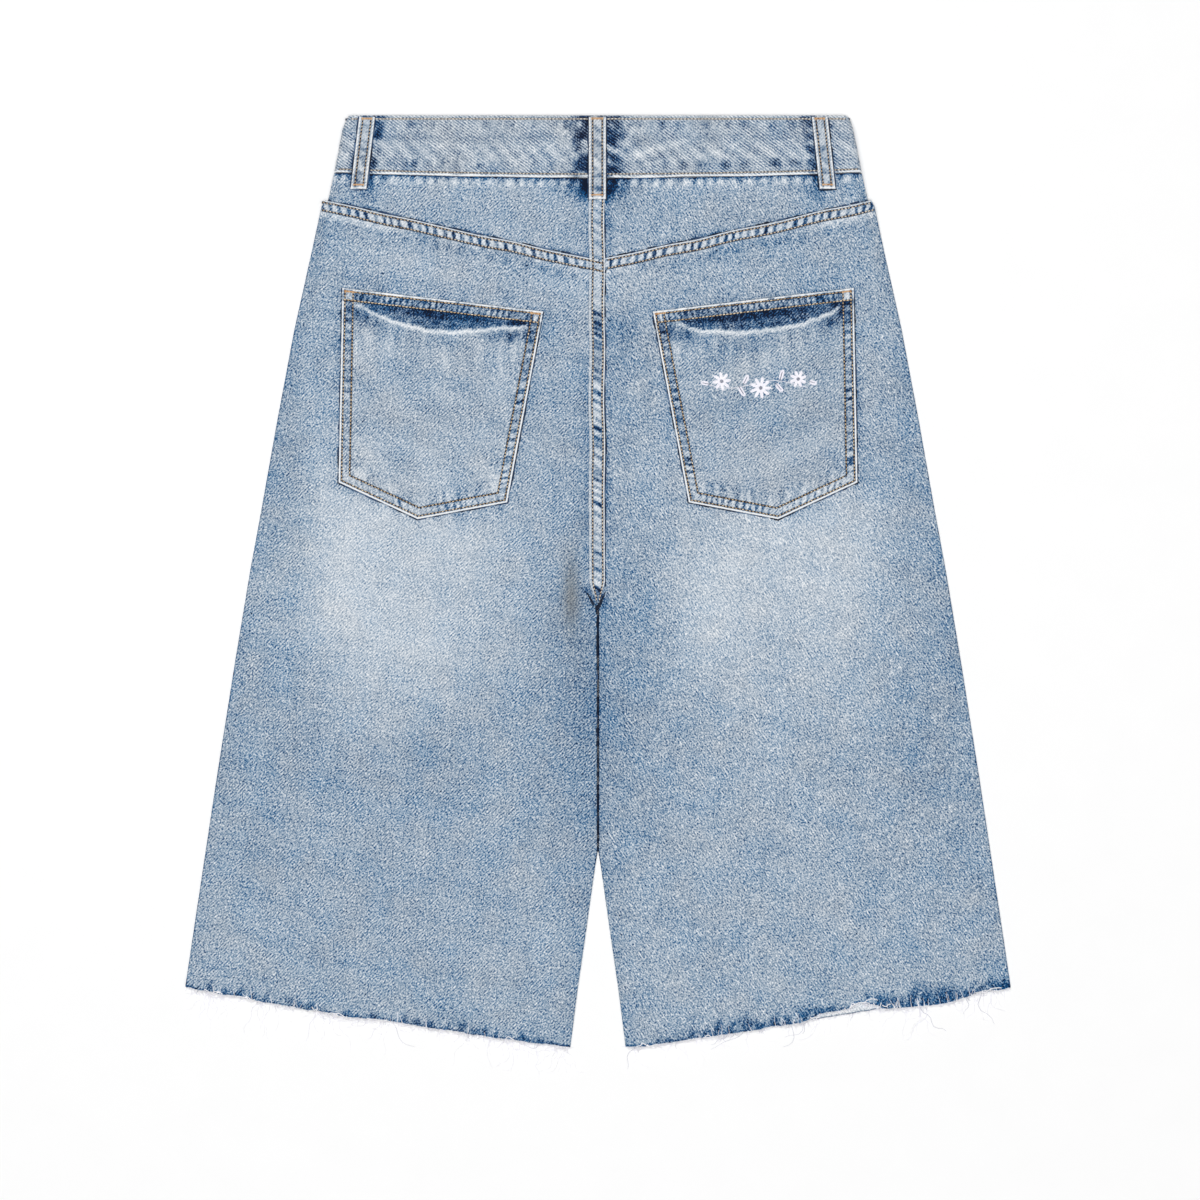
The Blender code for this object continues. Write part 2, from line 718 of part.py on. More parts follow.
clear_scene()
SHORTS = new_collection("denim_shorts")
CUTTERS = new_collection("cutters")
CUTTERS.hide_render = True

waistband()
waist_button()
fly_zip()
seat_seam()
for which in (-1, 1):
    front_panel(which)
    back_panel(which)
    back_yoke(which)
    yoke_seam(which)
    back_pocket(which)
    hem_fringe(which, "front", 11 + which)
    hem_fringe(which, "back", 21 + which)
for loop in BACK_LOOPS:
    back_loop(*loop)
for loop in FRONT_LOOPS:
    front_loop(*loop)
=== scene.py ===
# %% [markdown]
# # Washed denim shorts with a raw hem
#
# The shorts lie flat on a floor with their back side up. The construction model already holds every cut
# piece at its real size. This lesson dresses those pieces: each plain solid is replaced by a fine, thin
# shell of cloth, and then come the wash, the stitching, the loose threads, the light and the camera.

# %% Load the construction model
import math
import random

import bpy
import numpy as np
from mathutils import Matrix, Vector
from mathutils.bvhtree import BVHTree


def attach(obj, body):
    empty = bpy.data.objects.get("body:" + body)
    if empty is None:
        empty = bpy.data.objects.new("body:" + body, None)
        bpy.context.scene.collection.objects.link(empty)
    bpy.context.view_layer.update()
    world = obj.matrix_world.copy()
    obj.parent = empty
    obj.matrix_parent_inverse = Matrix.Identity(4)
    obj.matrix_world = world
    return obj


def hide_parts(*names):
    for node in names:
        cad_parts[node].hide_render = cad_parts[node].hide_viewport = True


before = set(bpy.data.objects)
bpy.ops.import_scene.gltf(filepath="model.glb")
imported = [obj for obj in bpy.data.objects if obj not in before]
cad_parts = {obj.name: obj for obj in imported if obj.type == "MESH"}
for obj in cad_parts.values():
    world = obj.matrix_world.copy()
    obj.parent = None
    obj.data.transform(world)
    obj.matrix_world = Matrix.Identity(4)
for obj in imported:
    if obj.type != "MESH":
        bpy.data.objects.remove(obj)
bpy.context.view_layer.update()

BODY = "root"
print("construction nodes:", len(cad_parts), "on body", BODY)

# %% [markdown]
# ## Sizes
#
# Clothes are drafted in millimetres, so this script works in millimetres and turns them into metres only
# when a mesh is made. These are the sizes of the pattern pieces: how long and wide they are, and how high
# each layer of cloth lies above the floor.

# %% Sizes of the pattern
MM = 0.001

# How thick the cloth is, and how far apart pieces lie, beside each other (GAP) or on top of each other.
WALL = 1.0
BAND_WALL = 1.8
LOOP_WALL = 1.5
GAP = 0.3
LAYER_GAP = 0.5

# Where the seams and edges run. The y axis points to the waist, and 0 is a little above the crotch.
TOP_Y = 327.0
BAND_HEIGHT = 38.8
BAND_HALF = 176.0
BAND_DROP_AT_CENTRE = 3.4
YOKE_SIDE_Y = 266.3
YOKE_CENTRE_Y = 225.0
YOKE_BOW = -0.5
CROTCH_Y = -8.5
HEM_SIDE_Y = -264.5
HEM_INNER_Y = -306.0

# How high each layer lies, and how the front panels rise to the waistband.
FRONT_BAND_Z = 2.0
UNDERLAP_Z = FRONT_BAND_Z + BAND_WALL + GAP
BACK_BAND_Z = UNDERLAP_Z + BAND_WALL + GAP
FRONT_PANEL_RISE = 2.4
BACK_PANEL_RISE = BACK_BAND_Z + 0.2
LAY_LENGTH = 136.0
FRONT_RAMP = 45.0
FRONT_LEVEL = 12.0
FRONT_DIP = 18.0
FRONT_DIP_SHARE = 0.12

# The lapped fly, and the lapped ends of the waistband.
FLY_LAP = 6.5
FLY_BOTTOM_Y = 150.0
FLY_BLEND = 22.0
BAND_LAP = 13.0
CLEAR_OF_LAP = 1.5
FLY_SLOPE = 14.0
UNDERLAP_START = 32.0
UNDERLAP_SLOPE = 15.0
BAND_STEP = 10.0

# How the back's cloth curls down at its borders, and how far it stands off the front between them.
EDGE_CURL = 16.0
WAIST_CURL = 7.0
HEM_CURL = 24.0
PILLOW = 0.9
FAR = 99.0
CLEARANCE = 0.08
EDGE_RADIUS = 0.7
HEM_SHIFT_REACH = 24.0

# Half the width of the garment, as (y, half_width).
WAIST_SIDE = ((327.0, 169.3), (323.5, 171.4), (317.6, 173.1), (297.0, 177.2), (277.0, 181.6), (266.3, 184.2))
LEG_SIDE = (
    (266.3, 187.6), (222.4, 197.3), (181.6, 206.4), (120.4, 217.9), (59.2, 228.8),
    (18.4, 236.3), (-42.8, 246.5), (-124.4, 259.4), (-206.0, 271.7), (-264.5, 280.5),
)
# Half the gap between the legs, as (y, half_gap).
INSEAM = ((CROTCH_Y, 0.15), (-172.0, 0.15), (-185.6, 2.3), (-226.4, 8.0), (-267.2, 13.9), (-306.0, 18.8))
print("garment length:", TOP_Y - HEM_INNER_Y, "mm, hem width:", 2.0 * LEG_SIDE[-1][1], "mm")

# %% [markdown]
# ## The lie of the cloth
#
# Every piece of the back rests on the one below it, so one function of (x, y) gives the height of the cloth
# anywhere, and each piece asks that function where it lies. numpy works the heights out for a whole grid at
# once, which is what makes a fine mesh quick to build.


# %% Soft steps and tables
def smooth(t):
    t = np.clip(t, 0.0, 1.0)
    return t * t * (3.0 - 2.0 * t)


def fade(distance, width):
    """1 at distance 0, and 0 from the width on."""
    return smooth(1.0 - distance / width)


def mix(a, b, t):
    return a + (b - a) * t


def hump(distance, width, power=2):
    """A bell: 1 at distance 0, gone at about twice the width. A power of 4 makes its top flat."""
    return np.exp(-((distance / width) ** power))


def spot(along_x, half_x, along_y, half_y):
    """A bell in two directions, each with its own width."""
    return np.exp(-((along_x / half_x) ** 2) - (along_y / half_y) ** 2)


def along(table, place):
    """The second column of a table at a place given in its first column."""
    rows = sorted(table)
    return np.interp(place, [row[0] for row in rows], [row[1] for row in rows])


def word(side):
    """The side's name: -1 is left and 1 is right, as seen on the garment's back."""
    return "left" if side < 0 else "right"


def pointing(angle):
    """A step of length 1 at an angle in degrees, and the same step turned to the left."""
    turn = math.radians(angle)
    return np.array([math.cos(turn), math.sin(turn)]), np.array([-math.sin(turn), math.cos(turn)])


def wander(x, y, size, seed):
    """A smooth, uneven value from about -1 to 1, whose bumps are roughly `size` millimetres wide."""
    chance = random.Random(seed)
    total = 0.0
    for _ in range(6):
        turn = chance.uniform(0.0, 2.0 * math.pi)
        pitch = 2.0 * size * chance.uniform(0.7, 1.6)
        phase = chance.uniform(0.0, 2.0 * math.pi)
        total += np.sin((x * math.cos(turn) + y * math.sin(turn)) * 2.0 * math.pi / pitch + phase)
    return total / 2.4


print("wander at three places:", [round(float(wander(x, 0.0, 10.0, 1)), 2) for x in (0.0, 10.0, 20.0)])


# %% The outline of the garment
def side_x(y):
    return np.where(y > YOKE_SIDE_Y, along(WAIST_SIDE, y), along(LEG_SIDE, y))


def band_low_y(x):
    across = np.minimum(np.abs(x) / BAND_HALF, 1.0)
    return TOP_Y - BAND_HEIGHT - BAND_DROP_AT_CENTRE * (1.0 - across**2)


def front_dip(x):
    across = np.minimum(np.abs(x) / BAND_HALF, 1.0)
    return FRONT_DIP * np.cos(0.5 * np.pi * across) ** 2


def hem_y(x):
    inner_x = along(INSEAM, HEM_INNER_Y)
    outer_x = along(LEG_SIDE, HEM_SIDE_Y)
    return mix(HEM_INNER_Y, HEM_SIDE_Y, (np.abs(x) - inner_x) / (outer_x - inner_x))


def yoke_seam_y(x):
    across = np.minimum(np.abs(x) / along(LEG_SIDE, YOKE_SIDE_Y), 1.0)
    return mix(YOKE_CENTRE_Y, YOKE_SIDE_Y, across) + YOKE_BOW * 4.0 * across * (1.0 - across)


print("hem from y =", round(float(hem_y(18.8)), 1), "to", round(float(hem_y(280.5)), 1), "at the side seam")

# %% [markdown]
# Cloth that lies on a floor is never quite flat. The big soft folds come from a short table, one row for each
# fold, and a second table adds the smaller creases that a person would notice from a step away.

# %% Folds and creases
FOLDS = (
    # x, y, angle_deg, length, width, height
    (-19.0, -6.0, 84.0, 62.0, 13.0, 0.9),
    (24.0, -14.0, 101.0, 50.0, 15.0, 0.6),
    (-62.0, 58.0, 24.0, 74.0, 22.0, 0.7),
    (71.0, 47.0, 152.0, 82.0, 24.0, 0.8),
    (-186.0, 150.0, 99.0, 88.0, 20.0, 0.6),
    (184.0, 128.0, 76.0, 70.0, 22.0, 0.7),
    (-150.0, -92.0, 62.0, 120.0, 34.0, 0.9),
    (128.0, -118.0, 113.0, 138.0, 36.0, 0.8),
    (-205.0, -190.0, 80.0, 96.0, 30.0, 0.6),
    (212.0, -176.0, 96.0, 104.0, 32.0, 0.7),
    (-58.0, -176.0, 94.0, 110.0, 26.0, 0.6),
    (60.0, -190.0, 85.0, 92.0, 24.0, 0.5),
)
CREASES = (
    # x, y, angle_deg, length, width, height
    (-23.0, 8.0, 79.0, 46.0, 6.0, 0.45),
    (-33.0, 20.0, 58.0, 38.0, 7.0, -0.3),
    (15.0, 2.0, 112.0, 40.0, 6.0, 0.35),
    (28.0, 14.0, 131.0, 44.0, 8.0, -0.3),
    (-44.0, 34.0, 38.0, 60.0, 9.0, 0.3),
    (48.0, 40.0, 146.0, 52.0, 9.0, 0.28),
    (-16.0, 200.0, 96.0, 34.0, 6.0, 0.25),
    (20.0, 150.0, 86.0, 60.0, 8.0, 0.22),
    (-204.0, 44.0, 96.0, 70.0, 12.0, 0.3),
    (205.0, 20.0, 83.0, 90.0, 13.0, 0.3),
    (-110.0, -140.0, 71.0, 90.0, 14.0, -0.35),
    (96.0, -160.0, 104.0, 100.0, 15.0, -0.3),
    (-160.0, -214.0, 100.0, 60.0, 12.0, 0.28),
    (170.0, -228.0, 84.0, 54.0, 11.0, 0.3),
    (-40.0, -236.0, 88.0, 64.0, 10.0, 0.25),
    (44.0, -240.0, 93.0, 58.0, 10.0, 0.25),
)


def ridges(x, y, table):
    """The summed height of a table of ridges and troughs with rounded ends."""
    total = 0.0
    for fold_x, fold_y, angle, length, width, height in table:
        turn = math.radians(angle)
        lengthwise = (x - fold_x) * math.cos(turn) + (y - fold_y) * math.sin(turn)
        sideways = (y - fold_y) * math.cos(turn) - (x - fold_x) * math.sin(turn)
        total += height * spot(2.0 * lengthwise, length, 2.0 * sideways, width)
    return total


print("folds:", len(FOLDS), "creases:", len(CREASES))


# %% The height of each layer
def front_rise(x, y):
    start = band_low_y(x) - front_dip(x) - FRONT_LEVEL - FRONT_RAMP
    return FRONT_PANEL_RISE * smooth((y - start) / FRONT_RAMP)


def lap_shift(y):
    return smooth((y - FLY_BOTTOM_Y) / FLY_BLEND)


def fly_step(x, y):
    from_lap = np.abs(x) - FLY_LAP - CLEAR_OF_LAP
    return (WALL + GAP) * lap_shift(y + FLY_BLEND) * (1.0 - smooth(from_lap / FLY_SLOPE))


def front_top(x, y):
    panel = front_rise(x, y) + fly_step(x, y) + WALL
    low_y = band_low_y(x) - front_dip(x)
    underlap = (UNDERLAP_Z - FRONT_BAND_Z) * smooth((UNDERLAP_START + 6.0 - np.abs(x)) / UNDERLAP_SLOPE)
    band = np.maximum(panel, FRONT_BAND_Z + BAND_WALL + underlap)
    return mix(panel, band, smooth((y - low_y + FRONT_LEVEL) / BAND_STEP))


def waist_share(x, y):
    return smooth((y - band_low_y(x) + LAY_LENGTH) / LAY_LENGTH)


def edge_distances(x, y):
    """How far a point lies from the side seam, from the inseam or crotch, and from the hem."""
    from_side = side_x(y) - np.abs(x)
    below = np.abs(x) - along(INSEAM, y)
    from_inseam = np.where(y < CROTCH_Y, below, np.hypot(x, y - CROTCH_Y))
    return from_side, from_inseam, y - hem_y(x)


def border_distance(x, y):
    """How far a point lies from the side seam or, below the crotch, from the inseam."""
    from_side, from_inseam, _from_hem = edge_distances(x, y)
    return np.minimum(from_side, np.where(y < CROTCH_Y, from_inseam, FAR))


def edge_fade(x, y):
    from_side, from_inseam, from_hem = edge_distances(x, y)
    side_curl = mix(EDGE_CURL, WAIST_CURL, waist_share(x, y))
    return smooth(from_side / side_curl) * smooth(from_inseam / EDGE_CURL) * smooth(from_hem / HEM_CURL)


def back_under(x, y):
    seated = front_top(x, y) + LAYER_GAP
    loose = seated + PILLOW + ridges(x, y, FOLDS)
    lifted = mix(loose, np.maximum(BACK_PANEL_RISE, seated), waist_share(x, y))
    return mix(seated, lifted, edge_fade(x, y))


def back_top(x, y):
    return back_under(x, y) + WALL


print("top of the back at the seat:", round(float(back_top(60.0, 100.0)), 2), "mm above the floor")

# %% [markdown]
# ## Patch pockets
#
# A back pocket is a five-sided patch. Its outline is needed early, because the panel under it is darker along
# its edges and puckers there. The right pocket is the left one mirrored.

# %% The pocket's outline
POCKET = {
    "top_outer": (-173.8, 210.0),
    "top_inner": (-37.1, 194.0),
    "side_outer": (-176.4, 77.8),
    "side_inner": (-61.6, 64.2),
    "point": (-122.5, 52.8),
}
POCKET_HEM = 8.0
POCKET_PUFF = 1.3
POCKET_SAG = 1.1
POCKET_RISE_SHARE = 0.17
POCKET_OUTLINE = [POCKET[name] for name in ("top_outer", "side_outer", "point", "side_inner", "top_inner")]
MOUTH_LENGTH = 136.0


def segment_distance(x, y, start, end):
    """The distance from (x, y) to a straight line between two points."""
    run_x = end[0] - start[0]
    run_y = end[1] - start[1]
    share = ((x - start[0]) * run_x + (y - start[1]) * run_y) / (run_x**2 + run_y**2)
    share = np.clip(share, 0.0, 1.0)
    return np.hypot(x - start[0] - share * run_x, y - start[1] - share * run_y)


def pocket_distance(x, y):
    """The distance from (x, y) to the left pocket's outline."""
    ends = POCKET_OUTLINE[1:] + POCKET_OUTLINE[:1]
    return np.min([segment_distance(x, y, a, b) for a, b in zip(POCKET_OUTLINE, ends)], axis=0)


print("pocket opening:", round(math.dist(POCKET["top_outer"], POCKET["top_inner"]), 1), "mm wide")

# %% [markdown]
# ## The wash
#
# Indigo sits only on the outside of the yarn, so denim fades where it is rubbed: on the seat and thighs, on
# every folded edge, and on the ridges of a puckered seam. It stays dark in hollows. All of this is one value
# per point, called wear and shade: -1 is unworn navy, 0 is the mid blue of the cloth and 1 is bare white
# yarn.
# The same value also holds painted shade in a few places: thin dark lines at folded edges and under the
# waistband, beside the belt loops, in the lens under each pocket's mouth and in the gap between the legs. It
# is stored on the mesh as an attribute, and the shader turns it into colour. That way the wash is drawn in
# millimetres with plain functions, and stays fixed to the cloth from any view.

# %% The wash of the seat and legs
WASH = (
    # x, y, angle_deg, length, width, amount
    (-128.0, 4.0, 70.0, 250.0, 170.0, 0.08),
    (-172.0, 14.0, 80.0, 110.0, 60.0, 0.09),
    (-128.0, -28.0, 60.0, 110.0, 90.0, 0.06),
    (-206.0, -68.0, 100.0, 94.0, 54.0, -0.065),
    (-104.0, -98.0, 10.0, 124.0, 62.0, -0.05),
    (-150.0, -124.0, 0.0, 160.0, 60.0, -0.03),
    (-64.0, -215.0, 90.0, 90.0, 90.0, 0.02),
    (-122.0, 226.0, -13.0, 90.0, 26.0, 0.05),
    (0.0, 214.0, 0.0, 60.0, 36.0, 0.095),
    (-177.0, 263.0, 0.0, 24.0, 20.0, 0.06),
    (177.0, 263.0, 0.0, 24.0, 20.0, 0.05),
    (-102.0, 32.0, 0.0, 60.0, 36.0, 0.03),
    (212.0, -8.0, 80.0, 80.0, 40.0, -0.03),
    (-248.0, -226.0, 10.0, 80.0, 60.0, 0.03),
    (22.0, 280.0, 0.0, 34.0, 26.0, -0.05),
    (48.0, -88.0, 95.0, 130.0, 44.0, -0.035),
    (224.0, -70.0, 80.0, 150.0, 44.0, -0.06),
    (184.0, -112.0, 90.0, 70.0, 50.0, -0.03),
    (36.0, 0.0, 90.0, 170.0, 34.0, -0.03),
    (-171.0, 80.0, 82.0, 96.0, 30.0, 0.05),
    (-186.0, 92.0, 90.0, 100.0, 20.0, 0.05),
    (-128.0, 50.0, -10.0, 100.0, 30.0, 0.05),
    (124.0, 6.0, 105.0, 220.0, 150.0, 0.07),
    (80.0, -12.0, 75.0, 96.0, 64.0, 0.08),
    (124.0, 42.0, 10.0, 120.0, 60.0, 0.05),
    (166.0, 16.0, 95.0, 110.0, 60.0, 0.06),
    (-8.0, -60.0, 90.0, 240.0, 60.0, -0.10),
    (-30.0, -26.0, 75.0, 80.0, 34.0, -0.03),
    (18.0, 180.0, 90.0, 44.0, 20.0, -0.10),
    (-215.0, 110.0, 95.0, 200.0, 30.0, -0.05),
    (212.0, 120.0, 85.0, 200.0, 34.0, -0.05),
    (-20.0, 130.0, 90.0, 120.0, 50.0, -0.02),
    (-240.0, -140.0, 95.0, 220.0, 50.0, -0.03),
    (246.0, -130.0, 85.0, 240.0, 46.0, -0.03),
    (-120.0, -200.0, 90.0, 120.0, 200.0, -0.02),
    (90.0, 262.0, 5.0, 190.0, 60.0, -0.035),
    (24.0, -80.0, 90.0, 150.0, 30.0, -0.03),
    (28.0, 130.0, 90.0, 120.0, 40.0, -0.02),
)


def beside_seams(x, y):
    """1 right beside a seam or a pocket's edge, fading out over a finger's width."""
    pocket = pocket_distance(-np.abs(x), y)
    yoke = np.abs(y - yoke_seam_y(x)) - 4.0
    seat = np.where(y > CROTCH_Y, np.abs(x) - 5.5, FAR)
    near = np.exp(-np.minimum(pocket, np.maximum(seat, 0.0)) / 5.0)
    return np.maximum(near, 0.5 * np.exp(-np.maximum(yoke, 0.0) / 5.0))


def wash(x, y):
    """The broad wash of the back: pale ovals on the seat and thighs, darker near seams and edges."""
    value = ridges(x, y, WASH)
    from_side, from_inseam, _from_hem = edge_distances(x, y)
    patches = 0.5 + 0.5 * wander(x, y, 9.0, 31)
    value -= 0.16 * beside_seams(x, y) * patches
    value -= 0.05 * np.exp(-np.maximum(from_side, 0.0) / 7.0)
    value -= 0.06 * np.exp(-np.maximum(from_inseam, 0.0) / 6.0)
    below_yoke = yoke_seam_y(x) - 4.0 - y
    puckers = smooth(0.5 + 1.3 * wander(x + 0.3 * y, 0.0, 3.4, 33))
    value += 0.16 * puckers * hump(below_yoke - 1.4, 1.7)
    value += 0.14 * smooth((np.abs(x) - 130.0) / 30.0) * hump(below_yoke - 2.4, 3.0)
    spots = smooth(0.4 + 1.5 * wander(x, y, 3.6, 34))
    value -= 0.16 * spots * hump(below_yoke - 5.6, 2.4)
    return value - 0.012 + 0.012 * wander(x, y, 26.0, 7) + 0.014 * wander(x, y, 9.0, 8)


print("wash on the thigh:", round(float(wash(-136.0, -26.0)), 2), "and between the legs:",
      round(float(wash(-8.0, -60.0)), 2))

# %% [markdown]
# ## Denim as a material
#
# Denim is a twill: blue warp yarns cross over white weft yarns, and the crossings step sideways, which draws
# fine diagonal lines. Worn denim shows a heather of pale and blue flecks instead, because each yarn fades
# differently. More than one material needs both effects, so each is a shader node group: one makes the
# weave's flecks and lines, and the other dyes them. A few small helpers keep the wiring short.


# %% Helpers for shader nodes
def srgb(red, green, blue):
    """A colour as a screen gives it, from 0 to 255, turned into Blender's linear values."""
    found = []
    for part in (red, green, blue):
        part = part / 255.0
        found.append(part / 12.92 if part <= 0.04045 else ((part + 0.055) / 1.055) ** 2.4)
    return (*found, 1.0)


def fill(tree, node, inputs):
    """Fills a node's inputs with numbers, or links them to other nodes' outputs."""
    for name, value in inputs.items():
        if isinstance(value, bpy.types.NodeSocket):
            tree.links.new(value, node.inputs[name])
        else:
            node.inputs[name].default_value = value


def add_node(tree, kind, inputs=None, **settings):
    """A node with its settings and its inputs."""
    node = tree.nodes.new(kind)
    for name, value in settings.items():
        setattr(node, name, value)
    fill(tree, node, inputs or {})
    return node


def mesh_value(tree, name):
    """A value that is stored on the mesh."""
    return add_node(tree, "ShaderNodeAttribute", attribute_name=name).outputs["Fac"]


def object_place(tree):
    """Where a point lies on its object, in metres, so that a pattern stays fixed to the cloth."""
    return add_node(tree, "ShaderNodeTexCoord").outputs["Object"]


def colour_ramp(tree, tone, stops):
    """A ramp's colour at a tone, from stops of (tone, linear colour)."""
    ramp = add_node(tree, "ShaderNodeValToRGB", {0: tone})
    elements = ramp.color_ramp.elements
    elements.remove(elements[1])
    for index, (place, colour) in enumerate(stops):
        stop = elements.new(place) if index else elements[0]
        stop.position = place
        stop.color = colour
    return ramp.outputs[0]


def sum_up(tree, operation, a, b=0.0, c=0.0, clamp=False):
    """One Math node's output."""
    node = add_node(tree, "ShaderNodeMath", {0: a, 1: b, 2: c}, operation=operation, use_clamp=clamp)
    return node.outputs[0]


SOCKET_KINDS = {"Place": "NodeSocketVector", "Color": "NodeSocketColor"}


def new_group(name, inputs, outputs):
    """An empty node group and its two ends, from a dictionary of inputs and the names of the outputs."""
    tree = bpy.data.node_groups.new(name, "ShaderNodeTree")
    for label, value in inputs.items():
        kind = SOCKET_KINDS.get(label, "NodeSocketFloat")
        socket = tree.interface.new_socket(name=label, in_out="INPUT", socket_type=kind)
        if value is not None:
            socket.default_value = value
    for label in outputs:
        kind = SOCKET_KINDS.get(label, "NodeSocketFloat")
        tree.interface.new_socket(name=label, in_out="OUTPUT", socket_type=kind)
    return tree, tree.nodes.new("NodeGroupInput"), tree.nodes.new("NodeGroupOutput")


print("a denim blue in linear values:", [round(part, 3) for part in srgb(155, 170, 185)[:3]])


# %% The weave group
def noise(tree, place, scale, detail, dimensions="3D"):
    """A noise centred on zero. The scale counts bumps per millimetre, since places are in millimetres."""
    inputs = {"Vector": place, "Scale": scale, "Detail": detail}
    made = add_node(tree, "ShaderNodeTexNoise", inputs, noise_dimensions=dimensions)
    return sum_up(tree, "SUBTRACT", made.outputs[0], 0.5)


def stretched(tree, place, scale):
    return add_node(tree, "ShaderNodeVectorMath", {0: place, 1: scale}, operation="MULTIPLY").outputs[0]


def make_weave_group():
    settings = {"Place": None, "Lean": 0.8, "Line Pitch": 1.1, "Evenness": 0.6}
    tree, start, end = new_group("denim_weave", settings, ("Heather", "Lines", "Slub", "Streaks", "Height"))
    millimetres = add_node(
        tree, "ShaderNodeVectorMath", {0: start.outputs["Place"], "Scale": 1000.0}, operation="SCALE"
    ).outputs[0]
    turned = add_node(
        tree, "ShaderNodeVectorRotate", {"Vector": millimetres, "Angle": start.outputs["Lean"]},
        rotation_type="Z_AXIS",
    ).outputs[0]
    fleck = noise(tree, turned, 0.95, 0.0, dimensions="2D")
    dash = noise(tree, stretched(tree, turned, (0.45, 1.2, 1.0)), 1.0, 0.0, dimensions="2D")
    pits = add_node(
        tree, "ShaderNodeMapRange", {0: noise(tree, millimetres, 0.85, 0.0), 1: 0.18, 2: 0.3, 3: 0.0, 4: 1.0}
    ).outputs[0]
    patches = noise(tree, millimetres, 0.16, 2.0)
    heather = sum_up(tree, "MULTIPLY_ADD", dash, 0.45, sum_up(tree, "MULTIPLY", fleck, 0.66))
    heather = sum_up(tree, "MULTIPLY_ADD", patches, 0.16, heather)
    heather = sum_up(tree, "MULTIPLY_ADD", pits, -0.27, heather)
    split = add_node(tree, "ShaderNodeSeparateXYZ", {0: turned})
    wobble = sum_up(tree, "MULTIPLY", noise(tree, millimetres, 0.09, 1.0), 1.2)
    across = sum_up(tree, "ADD", split.outputs["Y"], wobble)
    phase = sum_up(tree, "MULTIPLY", across, 2.0 * math.pi)
    phase = sum_up(tree, "DIVIDE", phase, start.outputs["Line Pitch"])
    patchy = noise(tree, millimetres, 0.05, 1.0)
    patchy = sum_up(tree, "MULTIPLY_ADD", patchy, 3.2, start.outputs["Evenness"], clamp=True)
    lines = sum_up(tree, "MULTIPLY", sum_up(tree, "SINE", phase), patchy)
    slub = noise(tree, stretched(tree, millimetres, (0.9, 0.11, 1.0)), 1.0, 1.0)
    bent = sum_up(tree, "MULTIPLY", noise(tree, millimetres, 0.04, 1.0), 9.0)
    bent_y = sum_up(tree, "ADD", split.outputs["Y"], bent)
    bent_place = add_node(tree, "ShaderNodeCombineXYZ", {0: split.outputs["X"], 1: bent_y}).outputs[0]
    streaks = add_node(
        tree, "ShaderNodeMapRange",
        {0: noise(tree, stretched(tree, bent_place, (0.12, 0.95, 1.0)), 1.0, 0.0, dimensions="2D"),
         1: 0.10, 2: 0.36, 3: 0.0, 4: 1.0},
    ).outputs[0]
    height = sum_up(tree, "MULTIPLY_ADD", lines, 0.12, sum_up(tree, "MULTIPLY", heather, 0.8))
    found = {"Heather": heather, "Lines": lines, "Slub": slub, "Streaks": streaks, "Height": height}
    fill(tree, end, found)
    return tree


WEAVE = make_weave_group()
print("weave group:", len(WEAVE.nodes), "nodes")

# %% [markdown]
# The dye group adds the wear of a place to the weave's flecks and looks the sum up in one colour ramp, from
# navy through washed blue to bare white. Where the wear is high the flecks vanish into white, and where it
# is low they stay deep blue, just as they do on real yarn.

# %% The dye group
DYE_STOPS = (
    # tone, colour on a screen
    (0.0, (8, 19, 40)),
    (0.14, (27, 58, 98)),
    (0.30, (69, 102, 137)),
    (0.46, (124, 147, 169)),
    (0.60, (161, 175, 190)),
    (0.76, (196, 205, 214)),
    (1.0, (238, 240, 242)),
)


def make_dye_group():
    settings = {"Wear and Shade": 0.0, "Heather": 0.0, "Lines": 0.0, "Slub": 0.0, "Streaks": 0.0, "Tint": 0.0,
                "Tone": 0.56, "Flecks": 1.0, "Twill": 0.05, "Colour": 1.0}
    tree, start, end = new_group("denim_dye", settings, ("Color", "Roughness"))
    given = start.outputs
    bare = sum_up(tree, "MAXIMUM", given["Wear and Shade"], 0.0)
    unworn = sum_up(tree, "MAXIMUM", sum_up(tree, "MULTIPLY_ADD", given["Wear and Shade"], -1.0, -0.15), 0.0)
    calm = sum_up(tree, "MULTIPLY_ADD", unworn, 0.35, sum_up(tree, "MULTIPLY", bare, 1.4))
    flecks = sum_up(tree, "MULTIPLY", given["Flecks"], sum_up(tree, "SUBTRACT", 1.0, calm, clamp=True))
    flecks = sum_up(tree, "MULTIPLY", given["Heather"], flecks)
    tone = sum_up(tree, "ADD", given["Tone"], given["Wear and Shade"])
    tone = sum_up(tree, "ADD", tone, flecks)
    tone = sum_up(tree, "MULTIPLY_ADD", given["Lines"], given["Twill"], tone)
    dark = sum_up(tree, "MAXIMUM", sum_up(tree, "MULTIPLY", given["Wear and Shade"], -1.0), 0.0)
    streaky = sum_up(tree, "MULTIPLY_ADD", dark, 0.7, 0.10)
    tone = sum_up(tree, "MULTIPLY_ADD", given["Slub"], streaky, tone)
    tone = sum_up(tree, "ADD", given["Streaks"], tone)
    dyed = colour_ramp(tree, tone, [(place, srgb(*shade)) for place, shade in DYE_STOPS])
    colour = sum_up(tree, "ADD", given["Colour"], given["Tint"])
    deep = sum_up(tree, "MAXIMUM", sum_up(tree, "SUBTRACT", 0.4, tone), 0.0)
    colour = sum_up(tree, "MULTIPLY_ADD", deep, 0.9, colour)
    greyer = add_node(tree, "ShaderNodeHueSaturation", {"Saturation": colour, "Color": dyed})
    rough = sum_up(tree, "MULTIPLY_ADD", given["Heather"], 0.25, 0.86, clamp=True)
    fill(tree, end, {"Color": greyer.outputs[0], "Roughness": rough})
    return tree


DYE = make_dye_group()
print("dye group:", len(DYE.nodes), "nodes and", len(DYE_STOPS), "shades")


